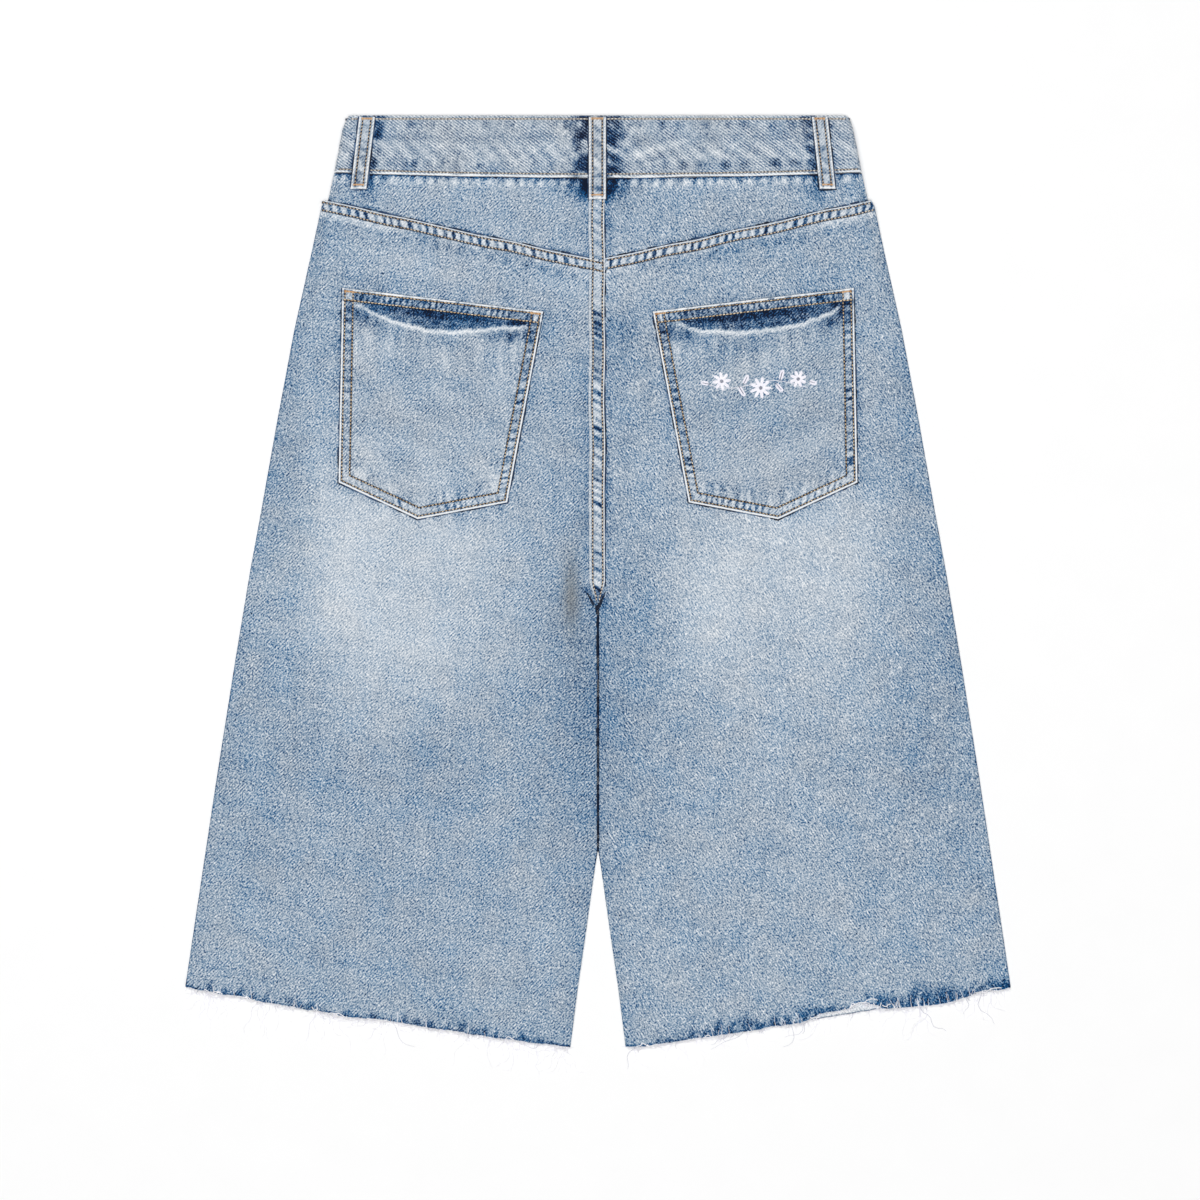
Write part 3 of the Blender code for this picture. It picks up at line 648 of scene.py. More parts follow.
# %% Denim materials
def new_material(name):
    """A material with a Principled shader, and its tree and shader."""
    made = bpy.data.materials.new(name)
    made.use_nodes = True
    return made, made.node_tree, made.node_tree.nodes["Principled BSDF"]


# The grey-brown of the painted shade in the soft fold beside the crotch.
FOLD_SHADE_COLOUR = (112, 108, 98)


def denim(name, lean, tone=0.56, flecks=1.0, twill=0.09, pitch=1.75, even=0.6, colour=1.0, streaks=0.03):
    """A denim finish that reads its wear and painted shade from the mesh. The lean is the angle of the
    weave's lines.
    """
    made, tree, shader = new_material(name)
    place = object_place(tree)
    wear_and_shade = mesh_value(tree, "wear_and_shade")
    settings = {"Place": place, "Lean": math.radians(lean), "Line Pitch": pitch, "Evenness": even}
    weave = add_node(tree, "ShaderNodeGroup", settings, node_tree=WEAVE).outputs
    settings = {"Wear and Shade": wear_and_shade, "Tone": tone, "Flecks": flecks, "Twill": twill, "Colour": colour}
    dye = add_node(tree, "ShaderNodeGroup", settings, node_tree=DYE)
    fill(tree, dye, {label: weave[label] for label in ("Heather", "Lines", "Slub")})
    streaky = sum_up(tree, "MULTIPLY", weave["Streaks"], streaks)
    tint = add_node(tree, "ShaderNodeTexNoise", {"Vector": place, "Scale": 45.0, "Detail": 2.0}).outputs[0]
    fill(tree, dye, {"Streaks": streaky, "Tint": sum_up(tree, "MULTIPLY_ADD", tint, 0.8, -0.4)})
    relief = {"Height": weave["Height"], "Strength": 0.35, "Distance": 0.0004}
    grain = add_node(tree, "ShaderNodeBump", relief).outputs[0]
    # A grey-brown painted fold shade, read from the mesh, is mixed over the dyed colour.
    layers = {0: mesh_value(tree, "fold_shade"), 6: dye.outputs["Color"], 7: srgb(*FOLD_SHADE_COLOUR)}
    fold_shaded = add_node(tree, "ShaderNodeMix", layers, data_type="RGBA").outputs[2]
    fill(tree, shader, {"Base Color": fold_shaded, "Roughness": dye.outputs["Roughness"], "Normal": grain})
    fill(tree, shader, {"Specular IOR Level": 0.2, "Sheen Weight": 0.06, "Sheen Roughness": 0.5})
    return made


LEG_CLOTH = {
    -1: denim("denim_left_leg", lean=-45.0),
    1: denim("denim_right_leg", lean=56.0, twill=0.05, streaks=0.15),
}
POCKET_CLOTH = denim("denim_pocket", lean=-45.0, tone=0.53, colour=0.92)
TRIM = denim("denim_trim", lean=37.0, tone=0.53, flecks=0.85, twill=0.17, even=1.0, colour=0.78)
LOOP_CLOTH = denim(
    "denim_loop", lean=-48.0, tone=0.60, flecks=0.5, twill=0.08, pitch=1.7, even=1.0, colour=0.75)
SEAM_CLOTH = denim("denim_seam", lean=-40.0, tone=0.56, flecks=0.8, twill=0.06, colour=0.9)
REVERSE = denim("denim_reverse", lean=45.0, tone=0.82, flecks=0.7, twill=0.08, colour=0.6)
print("denim finishes:", sum(1 for made in bpy.data.materials if made.name.startswith("denim_")))

# %% [markdown]
# ## Shells of cloth
#
# A cut piece is modelled as a grid bent into place, with a second grid under it and a rim that joins them:
# a real wall of cloth and not a paper-thin face. The grid is finer near its edges, where the fold or the
# stitching is, and coarser in the middle.


# %% The shell builder
def graded(length, pitch, start=(), end=()):
    """Places from 0 to 1 along a length in millimetres, with extra ones near either end."""
    first = start[-1] if start else 0.0
    last = length - (end[-1] if end else 0.0)
    count = max(2, round((last - first) / pitch))
    inside = np.linspace(first, last, count + 1)
    places = [0.0, *start[:-1], *inside, *[length - gap for gap in reversed(end[:-1])], length]
    return np.unique(np.round(np.array(places) / length, 7))


def grid(across, down):
    """The places across (u) and down (v) of a piece, from what `graded` takes for each direction."""
    return np.meshgrid(graded(*across), graded(*down))


EDGE_LINES = (0.2, 0.5, 0.9, 1.4, 2.0)


def rounding(distance, radius):
    """How far a rounded edge falls away at a distance from its border."""
    inside = np.clip(1.0 - distance / radius, 0.0, 1.0)
    return radius * (1.0 - np.sqrt(1.0 - inside**2))


def new_object(name, points, faces, materials, values=None, face_slots=None, crisp=50.0):
    """A mesh object from points in millimetres, with float attributes and a slot for each face."""
    data = bpy.data.meshes.new(name)
    data.from_pydata(points * MM, [], faces)
    for label, numbers in (values or {}).items():
        layer = data.attributes.new(label, "FLOAT", "POINT")
        layer.data.foreach_set("value", np.asarray(numbers, dtype=np.float32).ravel())
    for material in materials:
        data.materials.append(material)
    if face_slots is not None:
        data.polygons.foreach_set("material_index", np.asarray(face_slots, dtype=np.int32))
    data.shade_smooth()
    data.set_sharp_from_angle(angle=math.radians(crisp))
    piece = bpy.data.objects.new(name, data)
    bpy.context.scene.collection.objects.link(piece)
    return piece


def face_count(pieces):
    return sum(len(piece.data.polygons) for piece in pieces)


def shell(name, outside, inside, wear_and_shade, materials, inside_wear=0.0, keep=None, fold_shade=0.0):
    """A wall of cloth between two grids of (x, y, z). `keep` leaves out the grid cells that are False."""
    outer, inner = np.stack(outside, axis=-1), np.stack(inside, axis=-1)
    rows, columns = wear_and_shade.shape
    layer = rows * columns
    index = np.arange(layer).reshape(rows, columns)
    a, b, c, d = index[:-1, :-1], index[:-1, 1:], index[1:, 1:], index[1:, :-1]
    kept = np.ones((rows - 1, columns - 1), dtype=bool) if keep is None else keep
    cells = np.stack([a, b, c, d], axis=-1)[kept]
    edged = np.pad(kept, 1, constant_values=False)
    beside = (edged[:-2, 1:-1], edged[1:-1, 2:], edged[2:, 1:-1], edged[1:-1, :-2])
    rim = []
    for (first, second), neighbour in zip(((a, b), (b, c), (c, d), (d, a)), beside):
        bare = kept & ~neighbour
        rim.append(np.stack([second[bare], first[bare], first[bare] + layer, second[bare] + layer], axis=-1))
    faces = np.concatenate([cells, cells[:, ::-1] + layer, *rim])
    row, column = rows // 2, columns // 2
    across = outer[row, column + 1] - outer[row, column]
    down = outer[row + 1, column] - outer[row, column]
    if np.dot(np.cross(across, down), outer[row, column] - inner[row, column]) < 0.0:
        faces = faces[:, ::-1]
    numbers = np.concatenate([wear_and_shade.ravel(), np.broadcast_to(inside_wear, wear_and_shade.shape).ravel()])
    # The painted fold shade goes on the outside face only.
    fold_shade_values = np.concatenate([np.broadcast_to(fold_shade, wear_and_shade.shape).ravel(), np.zeros(layer)])
    slots = np.zeros(len(faces), dtype=int)
    slots[len(cells):2 * len(cells)] = 1
    points = np.concatenate([outer.reshape(-1, 3), inner.reshape(-1, 3)])
    used, faces = np.unique(faces, return_inverse=True)
    values = {"wear_and_shade": numbers[used], "fold_shade": fold_shade_values[used]}
    return new_object(name, points[used], faces.reshape(-1, 4).tolist(), materials, values, slots)


print("edge lines at", EDGE_LINES, "mm")

# %% [markdown]
# ### The back of the legs
#
# Each leg's back is one large piece, from the yoke seam down to the raw hem. The hem was cut with scissors
# and never sewn, so its edge is uneven, dyed darker, and worn back in one place on the right leg, where
# the inside of the front layer shows.

# %% How the raw hem is worn
HEM_NICKS = (
    # x, half_width, depth
    (164.0, 27.0, 4.0),
    (183.0, 13.0, 3.8),
    (262.0, 10.0, 2.0),
    (118.0, 7.0, 0.8),
    (-186.0, 9.0, 0.6),
    (-246.0, 8.0, 1.0),
    (-96.0, 8.0, 0.7),
)
HEM_BOW = (
    # x, how far the cut runs below a straight line
    (-281.0, 0.6), (-262.0, 1.8), (-230.0, 2.5), (-190.0, 3.4), (-172.0, 3.8), (-146.0, 1.6), (-90.0, 2.4),
    (-60.0, 1.8), (-34.0, 0.9), (-19.0, 0.0),
    (19.0, 0.3), (32.0, 2.0), (75.0, 2.2), (110.0, 2.6), (190.0, 2.2), (208.0, 3.0),
    (226.0, 4.6), (241.0, 4.6), (252.0, 2.4), (262.0, 2.2), (270.0, 2.4), (281.0, 0.8),
)
HEM_STAINS = (
    # x, half_width, how much further it reaches, how much more of it is dark
    (-244.0, 8.0, -3.0, -0.5),
    (-84.0, 8.0, -1.0, -0.2),
    (34.0, 12.0, -4.0, -0.5),
    (100.0, 44.0, 5.0, 0.35),
    (178.0, 15.0, 0.0, -0.45),
    (222.0, 30.0, 5.0, 0.8),
    (258.0, 18.0, 2.0, 0.6),
)
SEAM_RELIEF = 0.16


def hem_bow(x):
    return np.interp(x, *np.transpose(HEM_BOW))


def hem_retreat(x):
    """How far the raw edge lies above a straight hem: the cut bows down, and wear has eaten into it."""
    total = 0.3 + 0.35 * wander(x, 0.0, 6.0, 51) + 0.25 * wander(x, 0.0, 2.4, 52)
    for nick_x, half_width, depth in HEM_NICKS:
        total += depth * smooth(1.6 * (1.0 - np.abs(x - nick_x) / half_width))
    return np.maximum(total, 0.0) - hem_bow(x)


def hem_stain(x, from_edge):
    """The unfaded band along the raw edge, wider in some places than in others."""
    line = 0.85 * smooth(1.5 - from_edge / 1.3)
    reach = 8.0 + 4.0 * wander(x, 0.0, 11.0, 53) + 2.2 * wander(x, 0.0, 3.6, 55)
    dark = 0.6
    for stain_x, half_width, further, more in HEM_STAINS:
        near = hump(x - stain_x, half_width, 4)
        reach += further * near
        dark += more * near
    clumps = smooth(dark + wander(x, 0.5 * from_edge, 3.8, 56))
    return np.maximum(line, clumps * smooth(1.25 * (1.0 - from_edge / np.maximum(reach, 2.0))))


def panel_relief(x, y):
    """Creases, unevenness and the pucker beside seams, which the plain solid doesn't have."""
    near = beside_seams(x, y)
    return (ridges(x, y, CREASES) + 0.10 * wander(x, y, 22.0, 61) + 0.05 * wander(x, y, 9.0, 62)
            + SEAM_RELIEF * near * wander(x, y, 4.5, 63))


def seated(x, y, under):
    """Keeps a layer just clear of the one beneath it, and closes the gap at the side seam and inseam."""
    near_edge = 1.0 - smooth(border_distance(x, y) / 3.0)
    under = under - (LAYER_GAP - CLEARANCE) * near_edge
    return np.maximum(under, front_top(x, y) + CLEARANCE)


print("deepest wear of the hem:", round(float(np.max(hem_retreat(np.linspace(20.0, 280.0, 500)))), 1), "mm")


# %% Back panels
def back_panel(side):
    hem_lines = (0.4, 0.9, 1.5, 2.2, 3.0, 4.0, 5.2, 6.6)
    u, v = grid((262.0, 2.2, EDGE_LINES, EDGE_LINES), (532.0, 2.4, (), hem_lines))
    outer_y = mix(YOKE_SIDE_Y - 0.5 * GAP, HEM_SIDE_Y, v)
    inner_y = mix(YOKE_CENTRE_Y - 0.5 * GAP, HEM_INNER_Y, v)
    x = side * mix(along(LEG_SIDE, outer_y), along(INSEAM, inner_y), u)
    y = mix(outer_y, inner_y, u) + YOKE_BOW * 4.0 * u * (1.0 - u) * (1.0 - v)
    from_edge = y - hem_y(x)
    y += hem_retreat(x) * (1.0 - smooth(from_edge / HEM_SHIFT_REACH))
    under = seated(x, y, back_under(x, y) + panel_relief(x, y))
    top = under + WALL - rounding(border_distance(x, y), EDGE_RADIUS)
    # The wash, the unfaded hem with its bare white cut, the dark fold of the side seam, and the dark line
    # along the inseam, partly unfaded navy and partly painted shade of the gap between the legs.
    from_side, from_inseam, _from_hem = edge_distances(x, y)
    wear_and_shade = wash(x, y) - 0.34 * hem_stain(x, from_edge) + 0.25 * fade(from_edge, 0.5)
    between_legs = smooth((y + 190.0) / 30.0) * (y < CROTCH_Y + 6.0)
    wear_and_shade = wear_and_shade - 0.22 * fade(from_side, 0.8) - 0.95 * between_legs * smooth(1.35 - from_inseam / 0.62)
    # A dark knot beside the crotch, and a grey-brown painted shade along the soft fold beside it.
    wear_and_shade -= 0.25 * hump(np.hypot(x + 8.4, y - 4.6), 2.8)
    fold_shade = 0.56 * spot(x + 18.5, 6.0, y - 2.0, 27.0)
    name = "denim_back_" + word(side)
    return shell(name, (x, y, top), (x, y, under), wear_and_shade, [LEG_CLOTH[side], REVERSE], fold_shade=fold_shade)


BACKS = {side: back_panel(side) for side in (-1, 1)}
print("back panels:", face_count(BACKS.values()), "faces")


# %% Back yokes
SCALLOP_PITCH = 8.6
YOKE_SHADOWS = (
    # x, reach, depth: unfaded cloth and painted shade beside each belt loop
    (-161.0, 8.0, 0.30), (-0.4, 15.0, 0.60), (155.0, 8.0, 0.36),
)


def yoke_wear_and_shade(x, y):
    """Blue blotches under the waistband's edge and beside the loops, over the wash of the cloth, with painted
    shade in a thin line under the waistband and beside the loops.
    """
    below = band_low_y(x) - y
    scallops = 0.5 + 0.5 * np.sin(x * 2.0 * np.pi / SCALLOP_PITCH + 1.3 * wander(x, 0.0, 14.0, 71))
    value = wash(x, y) + 0.02
    rays = smooth(0.5 + 1.4 * wander(x - 0.25 * y, 0.12 * y, 3.4, 74))
    # A thin painted shadow line right under the waistband's edge, then navy scallops between pale ridges and
    # rays.
    value = value - 0.50 * hump(below, 1.1) - 0.22 * scallops * hump(below - 2.4, 2.2)
    value += (0.14 * (1.0 - scallops) + 0.14 * rays) * hump(below - 3.8, 2.6)
    for loop_x, reach, depth in YOKE_SHADOWS:
        away = np.abs(x - loop_x) + 1.6 * wander(x, y, 5.0, 73)
        beyond = (np.abs(loop_x) > 9.0) & (np.abs(x) > np.abs(loop_x))
        inner = np.where(beyond, 0.35, 1.0) * (1.15 - 0.4 * rays)
        value -= inner * depth * hump(away - 4.0, reach) * hump(below, 13.5)
        value -= 0.6 * inner * depth * hump(away - 5.0, 4.4) * hump(below, 10.0)
    # Dark spots just above the yoke seam: partly unfaded navy, partly painted shade of the seam's step.
    above_seam = y - yoke_seam_y(x) - 4.0
    spots = smooth(0.5 + 1.2 * wander(x, 0.0, 4.5, 72))
    return value - 0.16 * spots * hump(above_seam - 0.9, 1.2)


def back_yoke(side):
    u, v = grid((182.0, 1.9, EDGE_LINES, (0.5, 1.2)), (40.0, 1.5, (0.6, 1.4)))
    top_x = mix(side_x(band_low_y(BAND_HALF)), 0.5 * GAP, u)
    low_x = mix(along(WAIST_SIDE, YOKE_SIDE_Y), 0.5 * GAP, u)
    x = side * mix(top_x, low_x, v)
    y = mix(band_low_y(top_x) - GAP, yoke_seam_y(low_x) + 0.5 * GAP, v)
    under = seated(x, y, back_under(x, y) + panel_relief(x, y))
    top = under + WALL - rounding(side_x(y) - np.abs(x), EDGE_RADIUS)
    name = "denim_yoke_" + word(side)
    return shell(name, (x, y, top), (x, y, under), yoke_wear_and_shade(x, y), [LEG_CLOTH[side], REVERSE])


YOKES = {side: back_yoke(side) for side in (-1, 1)}
print("yokes:", face_count(YOKES.values()), "faces")

# %% [markdown]
# ### The front, against the floor
#
# The front panels lie face down. Their inside looks up between the layers and shows only at the worn hem,
# but from below they are the front of the garment, so they get their own wash and topstitching.


# %% Front panels
FRONT_HEM_SHORT = 0.9
WHISKERS = (
    # tilt_deg, how far above the crotch
    (16.0, 62.0), (10.0, 44.0), (4.0, 26.0), (-3.0, 8.0),
)


def front_wear(x, y):
    value = ridges(x, y, WASH) * 1.2 + 0.03 * wander(x, y, 22.0, 81)
    for tilt, low in WHISKERS:
        line = y - low - math.tan(math.radians(tilt)) * np.abs(x)
        value += 0.10 * hump(line, 3.2) * smooth((np.abs(x) - 24.0) / 20.0) * smooth(
            (118.0 - np.abs(x)) / 40.0)
    return value - 0.32 * hem_stain(x, y - hem_y(x))


def front_panel(side):
    outer_top = band_low_y(BAND_HALF) - GAP
    inner_top = band_low_y(0.0) - front_dip(0.0) - GAP
    u, v = grid((230.0, 4.2, EDGE_LINES, EDGE_LINES), (560.0, 4.4, (), (0.5, 1.2, 2.2, 3.4, 5.0)))
    inner_y = mix(inner_top, HEM_INNER_Y, v)
    outer_y = mix(outer_top, HEM_SIDE_Y, v)
    inner_x = np.where(inner_y > CROTCH_Y, 0.5 * GAP - lap_shift(inner_y) * FLY_LAP, along(INSEAM, inner_y))
    drop = smooth(v / FRONT_DIP_SHARE)
    x = mix(side_x(mix(outer_top, outer_y, drop)), inner_x, u)
    top_y = band_low_y(x) - front_dip(x) - GAP
    y = mix(top_y, mix(outer_y, inner_y, u), drop)
    from_edge = y - hem_y(x)
    cut_away = FRONT_HEM_SHORT + 0.25 * wander(x, 3.0 * side, 4.0, 54) - hem_bow(side * x)
    y += cut_away * (1.0 - smooth(from_edge / HEM_SHIFT_REACH))
    base = front_rise(x, y) + (fly_step(x, y) if side > 0 else 0.0)
    from_side = side_x(y) - x
    low = base + 0.22 + rounding(np.maximum(from_side, 0.0), 0.6)
    lining_wear = 0.02 * wander(side * x, y, 12.0, 82) - 0.6 * fade(from_edge, 1.1)
    name = "denim_front_" + word(side)
    inside, outside = (side * x, y, base + WALL), (side * x, y, low)
    return shell(name, outside, inside, front_wear(side * x, y), [LEG_CLOTH[side], REVERSE], lining_wear)


FRONTS = {side: front_panel(side) for side in (-1, 1)}
print("front panels:", face_count(FRONTS.values()), "faces")

# %% [markdown]
# ### The waistband
#
# The waistband is one strip, folded double, that runs from the buttonhole end round the back to the button
# end. Laid flat it is a long flattened ring with lapped ends. One value, t, runs round that path, and the
# path gives the place and the direction through the wall. The fold at each long edge is rounded.


# %% The waistband's path
def band_path(t):
    low_z = FRONT_BAND_Z + 0.5 * BAND_WALL
    high_z = BACK_BAND_Z + 0.5 * BAND_WALL
    radius = 0.5 * (high_z - low_z)
    turn_x = BAND_HALF - radius - 0.5 * BAND_WALL
    left, right = np.pi * (t - 1.0), np.pi * (t - 3.0)
    under_x = mix(turn_x, -BAND_LAP, t - 4.0)
    climb = smooth((UNDERLAP_START - under_x) / UNDERLAP_SLOPE)
    stretch = [t <= 1.0, t < 2.0, t <= 3.0, t < 4.0]
    under_z = low_z + climb * (UNDERLAP_Z - FRONT_BAND_Z)
    x = np.select(stretch, [mix(BAND_LAP, -turn_x, t), -turn_x - radius * np.sin(left),
                            mix(-turn_x, turn_x, t - 2.0), turn_x + radius * np.sin(right)], under_x)
    z = np.select(stretch, [low_z, low_z + radius - radius * np.cos(left),
                            high_z, low_z + radius + radius * np.cos(right)], under_z)
    out_x = np.select(stretch, [0.0, -np.sin(left), 0.0, np.sin(right)], 0.0)
    out_z = np.select(stretch, [-1.0, -np.cos(left), 1.0, np.cos(right)], -1.0)
    return x, z, out_x, out_z


BAND_ROW = 2.4
LOWER_BLOTCHES = (
    # run, half_width, amount
    (-139.0, 2.4, 0.20), (-130.0, 2.4, 0.24), (-123.0, 2.4, 0.36), (-114.5, 2.4, 0.20), (-106.0, 2.6, 0.22),
    (-95.0, 2.8, 0.16), (-79.0, 3.0, 0.22), (-66.0, 3.0, 0.18), (-58.0, 2.2, 0.12), (-30.0, 2.6, 0.16),
    (44.0, 2.6, 0.16), (57.5, 3.0, 0.34), (70.0, 3.2, 0.22), (86.5, 3.4, 0.34), (97.0, 2.6, 0.30),
    (118.8, 4.0, 0.38), (133.5, 3.0, 0.28),
)
UPPER_BLOTCHES = (
    # run, half_width, amount
    (-129.5, 3.4, 0.26), (-116.0, 3.0, 0.14), (-103.0, 3.0, 0.12), (-77.0, 3.6, 0.20), (-62.0, 3.0, 0.16),
    (-46.0, 3.0, 0.08), (-29.8, 2.6, 0.26), (-21.0, 3.0, 0.34), (24.5, 3.6, 0.26), (44.0, 3.2, 0.20),
    (57.0, 2.8, 0.24), (74.0, 3.2, 0.28), (91.0, 2.8, 0.22), (102.5, 3.0, 0.22), (121.5, 2.8, 0.26),
    (134.0, 3.0, 0.26), (160.0, 3.0, 0.16),
)
BLOTCH_PITCH = 9.0


def band_blotches(run, table, seed):
    """Blue squares that stay unfaded between the pale ridges of a puckered edge."""
    total = 0.13 * smooth(0.2 + np.sin(run * 2.0 * np.pi / BLOTCH_PITCH + 1.5 * wander(run, 0.0, 20.0, seed)))
    for place, half_width, amount in table:
        total += amount * hump(run - place, half_width, 4)
    return total


BAND_CREASES = (
    # run, from_low, angle_deg, length, width, amount
    (-30.0, 24.0, 42.0, 26.0, 3.6, 0.12),
    (-17.0, 30.0, 58.0, 16.0, 3.0, 0.13),
    (-45.0, 17.0, 35.0, 22.0, 3.4, 0.09),
    (31.0, 17.0, 18.0, 28.0, 3.4, 0.13),
    (50.0, 22.0, 14.0, 32.0, 3.4, 0.10),
    (21.0, 27.0, 62.0, 13.0, 2.8, 0.12),
    (72.0, 15.0, 12.0, 26.0, 3.2, 0.08),
    (-72.0, 14.0, 25.0, 28.0, 3.4, 0.08),
    (37.0, 12.6, 12.0, 24.0, 3.0, -0.12),
    (25.0, 21.5, 32.0, 14.0, 3.2, -0.14),
    (-36.0, 20.0, 40.0, 22.0, 3.2, -0.08),
    (98.0, 24.0, 30.0, 20.0, 3.4, 0.07),
    (-104.0, 22.0, 30.0, 22.0, 3.4, 0.07),
)


BAND_SHADOWS = (
    # run, reach, depth: unfaded cloth and painted shade beside each belt loop
    (-157.5, 4.4, 0.42), (-0.4, 12.5, 0.50), (150.5, 4.6, 0.40),
)


def band_wear_and_shade(run, from_top, from_low, on_back):
    row = np.minimum(np.abs(from_top - BAND_ROW), np.abs(from_low - BAND_ROW))
    value = 0.05 + 0.05 * wander(run, from_low * 2.0, 9.0, 91)
    value += 0.10 * np.sin(0.5 * run + from_low * 0.55 + 2.0 * wander(run, 0.0, 30.0, 92)) * (
        hump(from_low - 16.0, 7.0))
    # Unfaded blotches along both edges, a faint line above them, and the needle's lines.
    ragged = 0.8 * wander(run, from_low, 3.0, 96)
    value -= 0.75 * band_blotches(run, LOWER_BLOTCHES, 93) * hump(from_low - 8.0 + ragged, 3.1, 4)
    value -= 0.75 * band_blotches(run, UPPER_BLOTCHES, 95) * hump(from_top - 6.6 + ragged, 2.7, 4)
    value -= 0.10 * hump(from_low - 25.0 - 2.0 * wander(run, 0.0, 18.0, 97), 3.4)
    value -= 0.18 * hump(row, 0.5)
    # The rubbed white folds, with a hair of dark shade right at the lower one.
    fold = 1.5 + 0.4 * wander(run, 0.0, 8.0, 99)
    value = value + 0.5 * smooth(1.2 - from_low / fold) + 0.16 * fade(from_top, 1.8)
    value -= 0.5 * fade(from_low, 0.35)
    if on_back:
        value += 1.35 * ridges(run, from_low, BAND_CREASES)
        for loop_x, reach, depth in BAND_SHADOWS:
            near = hump(np.maximum(np.abs(run - loop_x) - 5.0, 0.0), reach, 4)
            open_middle = hump(from_low - 20.0, 5.0)
            rough = 0.95 - 0.75 * open_middle + 0.6 * wander(run, from_low, 5.0, 98)
            value -= depth * near * smooth(rough)
    return value


print("waistband path ends at x =", round(float(band_path(np.array(0.0))[0]), 1), "and",
      round(float(band_path(np.array(5.0))[0]), 1), "mm")

# %% The waistband
BUTTON_CAP = 17.0
BUTTON_SHANK = 5.6
BUTTON_HOLE_LENGTH = 14.0
BUTTON_Y = float(band_low_y(0.0) + 0.5 * (TOP_Y - band_low_y(0.0)) - front_dip(0.0))


def waistband():
    straight = graded(186.0, 2.3, (0.3, 0.8), ())
    turn = np.linspace(0.0, 1.0, 13)[1:-1]
    back = graded(350.0, 1.35)
    around = np.concatenate([straight, 1.0 + turn, 2.0 + back, 3.0 + turn, 5.0 - straight[::-1]])
    v_lines = graded(38.0, 1.5, EDGE_LINES + (2.4, 2.9), EDGE_LINES + (2.4, 2.9))
    t, v = np.meshgrid(around, v_lines)
    path_x, z, out_x, out_z = band_path(t)
    height = TOP_Y - band_low_y(path_x)
    from_top, from_low = v * height, (1.0 - v) * height
    half = 0.5 * BAND_WALL - rounding(np.minimum(from_top, from_low), 0.85)
    row = np.minimum(np.abs(from_top - BAND_ROW), np.abs(from_low - BAND_ROW))
    swell = 0.22 * smooth((np.minimum(from_top, from_low) - BAND_ROW) / 7.0)
    pucker = 0.14 * wander(path_x + 200.0 * t, from_low * 0.6, 4.0, 101)
    dent = 0.3 * hump(row, 0.6)
    on_back = (t > 1.0) & (t < 4.0)
    outer = half - dent + np.where(on_back, swell + pucker, 0.0)
    climbed = (z - FRONT_BAND_Z - 0.5 * BAND_WALL) / (BACK_BAND_Z - FRONT_BAND_Z)
    share = np.where(on_back, smooth(climbed), 0.0)
    taper = side_x(mix(TOP_Y, band_low_y(path_x), v)) / BAND_HALF

    def face(offset):
        x = (path_x + out_x * offset) * taper
        y = mix(TOP_Y, band_low_y(x), v) - front_dip(x) * (1.0 - share)
        y -= (0.2 + 0.45 * wander(x, 0.0, 30.0, 105)) * fade(from_low, 2.2) * share
        return x, y, z + out_z * offset

    outside, inside = face(outer), face(-half)
    hole = (np.abs(outside[0]) < 0.5 * BUTTON_HOLE_LENGTH) & (t < 1.0)
    hole = hole & (np.abs(outside[1] - BUTTON_Y) < 0.5 * BUTTON_SHANK)
    keep = ~(hole[:-1, :-1] & hole[1:, 1:])
    wear_and_shade = band_wear_and_shade(path_x, from_top, from_low, True)
    front_value = band_wear_and_shade(path_x + 400.0, from_top, from_low, False)
    wear_and_shade = np.where(on_back, wear_and_shade, front_value)
    return shell("denim_waistband", outside, inside, wear_and_shade, [TRIM, REVERSE], keep=keep)


WAISTBAND = waistband()
print("waistband:", len(WAISTBAND.data.polygons), "faces; button centre at y =", round(BUTTON_Y, 1), "mm")

# %% [markdown]
# ### Felled seams
#
# The yoke and the centre back are joined with felled seams: both edges are folded into each other and sewn
# flat with two rows. The strip is four layers thick, so it stands proud, and washing shrinks the thread more
# than the cloth. That ropes the strip: slanting ridges go pale while the hollows between them stay navy.


# %% What the seams share
def cloth_top(x, y):
    """The top of the back's dressed cloth, with its creases."""
    return seated(x, y, back_under(x, y) + panel_relief(x, y)) + WALL


def roping(run, across, pitch, seed, slant=0.2):
    """The ridges of a shrunken seam: 1 on the broad pale ridges and -1 in the narrow hollows between."""
    phase = (run + slant * across) * 2.0 * np.pi / pitch + 1.2 * wander(run, 0.0, 13.0, seed)
    depth = 0.85 + 0.25 * wander(run, 0.0, 8.0, seed + 1)
    return 1.0 - 2.0 * depth * smooth((0.12 - np.sin(phase)) / 0.75)


ROW_WIDTH = 0.55
ROW_DEPTH = 0.28


def folded_edge(distance, width, strength):
    """A folded edge: a thin dark line at the very edge, partly unfaded indigo and partly painted shade where
    the cloth rolls under, then a white rub along the fold.
    """
    return strength * smooth(1.35 - np.abs(distance - 0.45) / width) - 0.75 * fade(distance, 0.3)


def row_marks(distance, rows):
    """The needle's lines of a double row: the cloth is pulled down there and is darker, partly unrubbed
    indigo and partly painted shade of the dent.
    """
    return np.maximum(hump(distance - rows[0], ROW_WIDTH), hump(distance - rows[1], ROW_WIDTH))


def between(distance, rows, edge=1.2):
    """1 between two rows, fading out over a short distance inside each."""
    return smooth((distance - rows[0]) / edge) * smooth((rows[1] - distance) / edge)


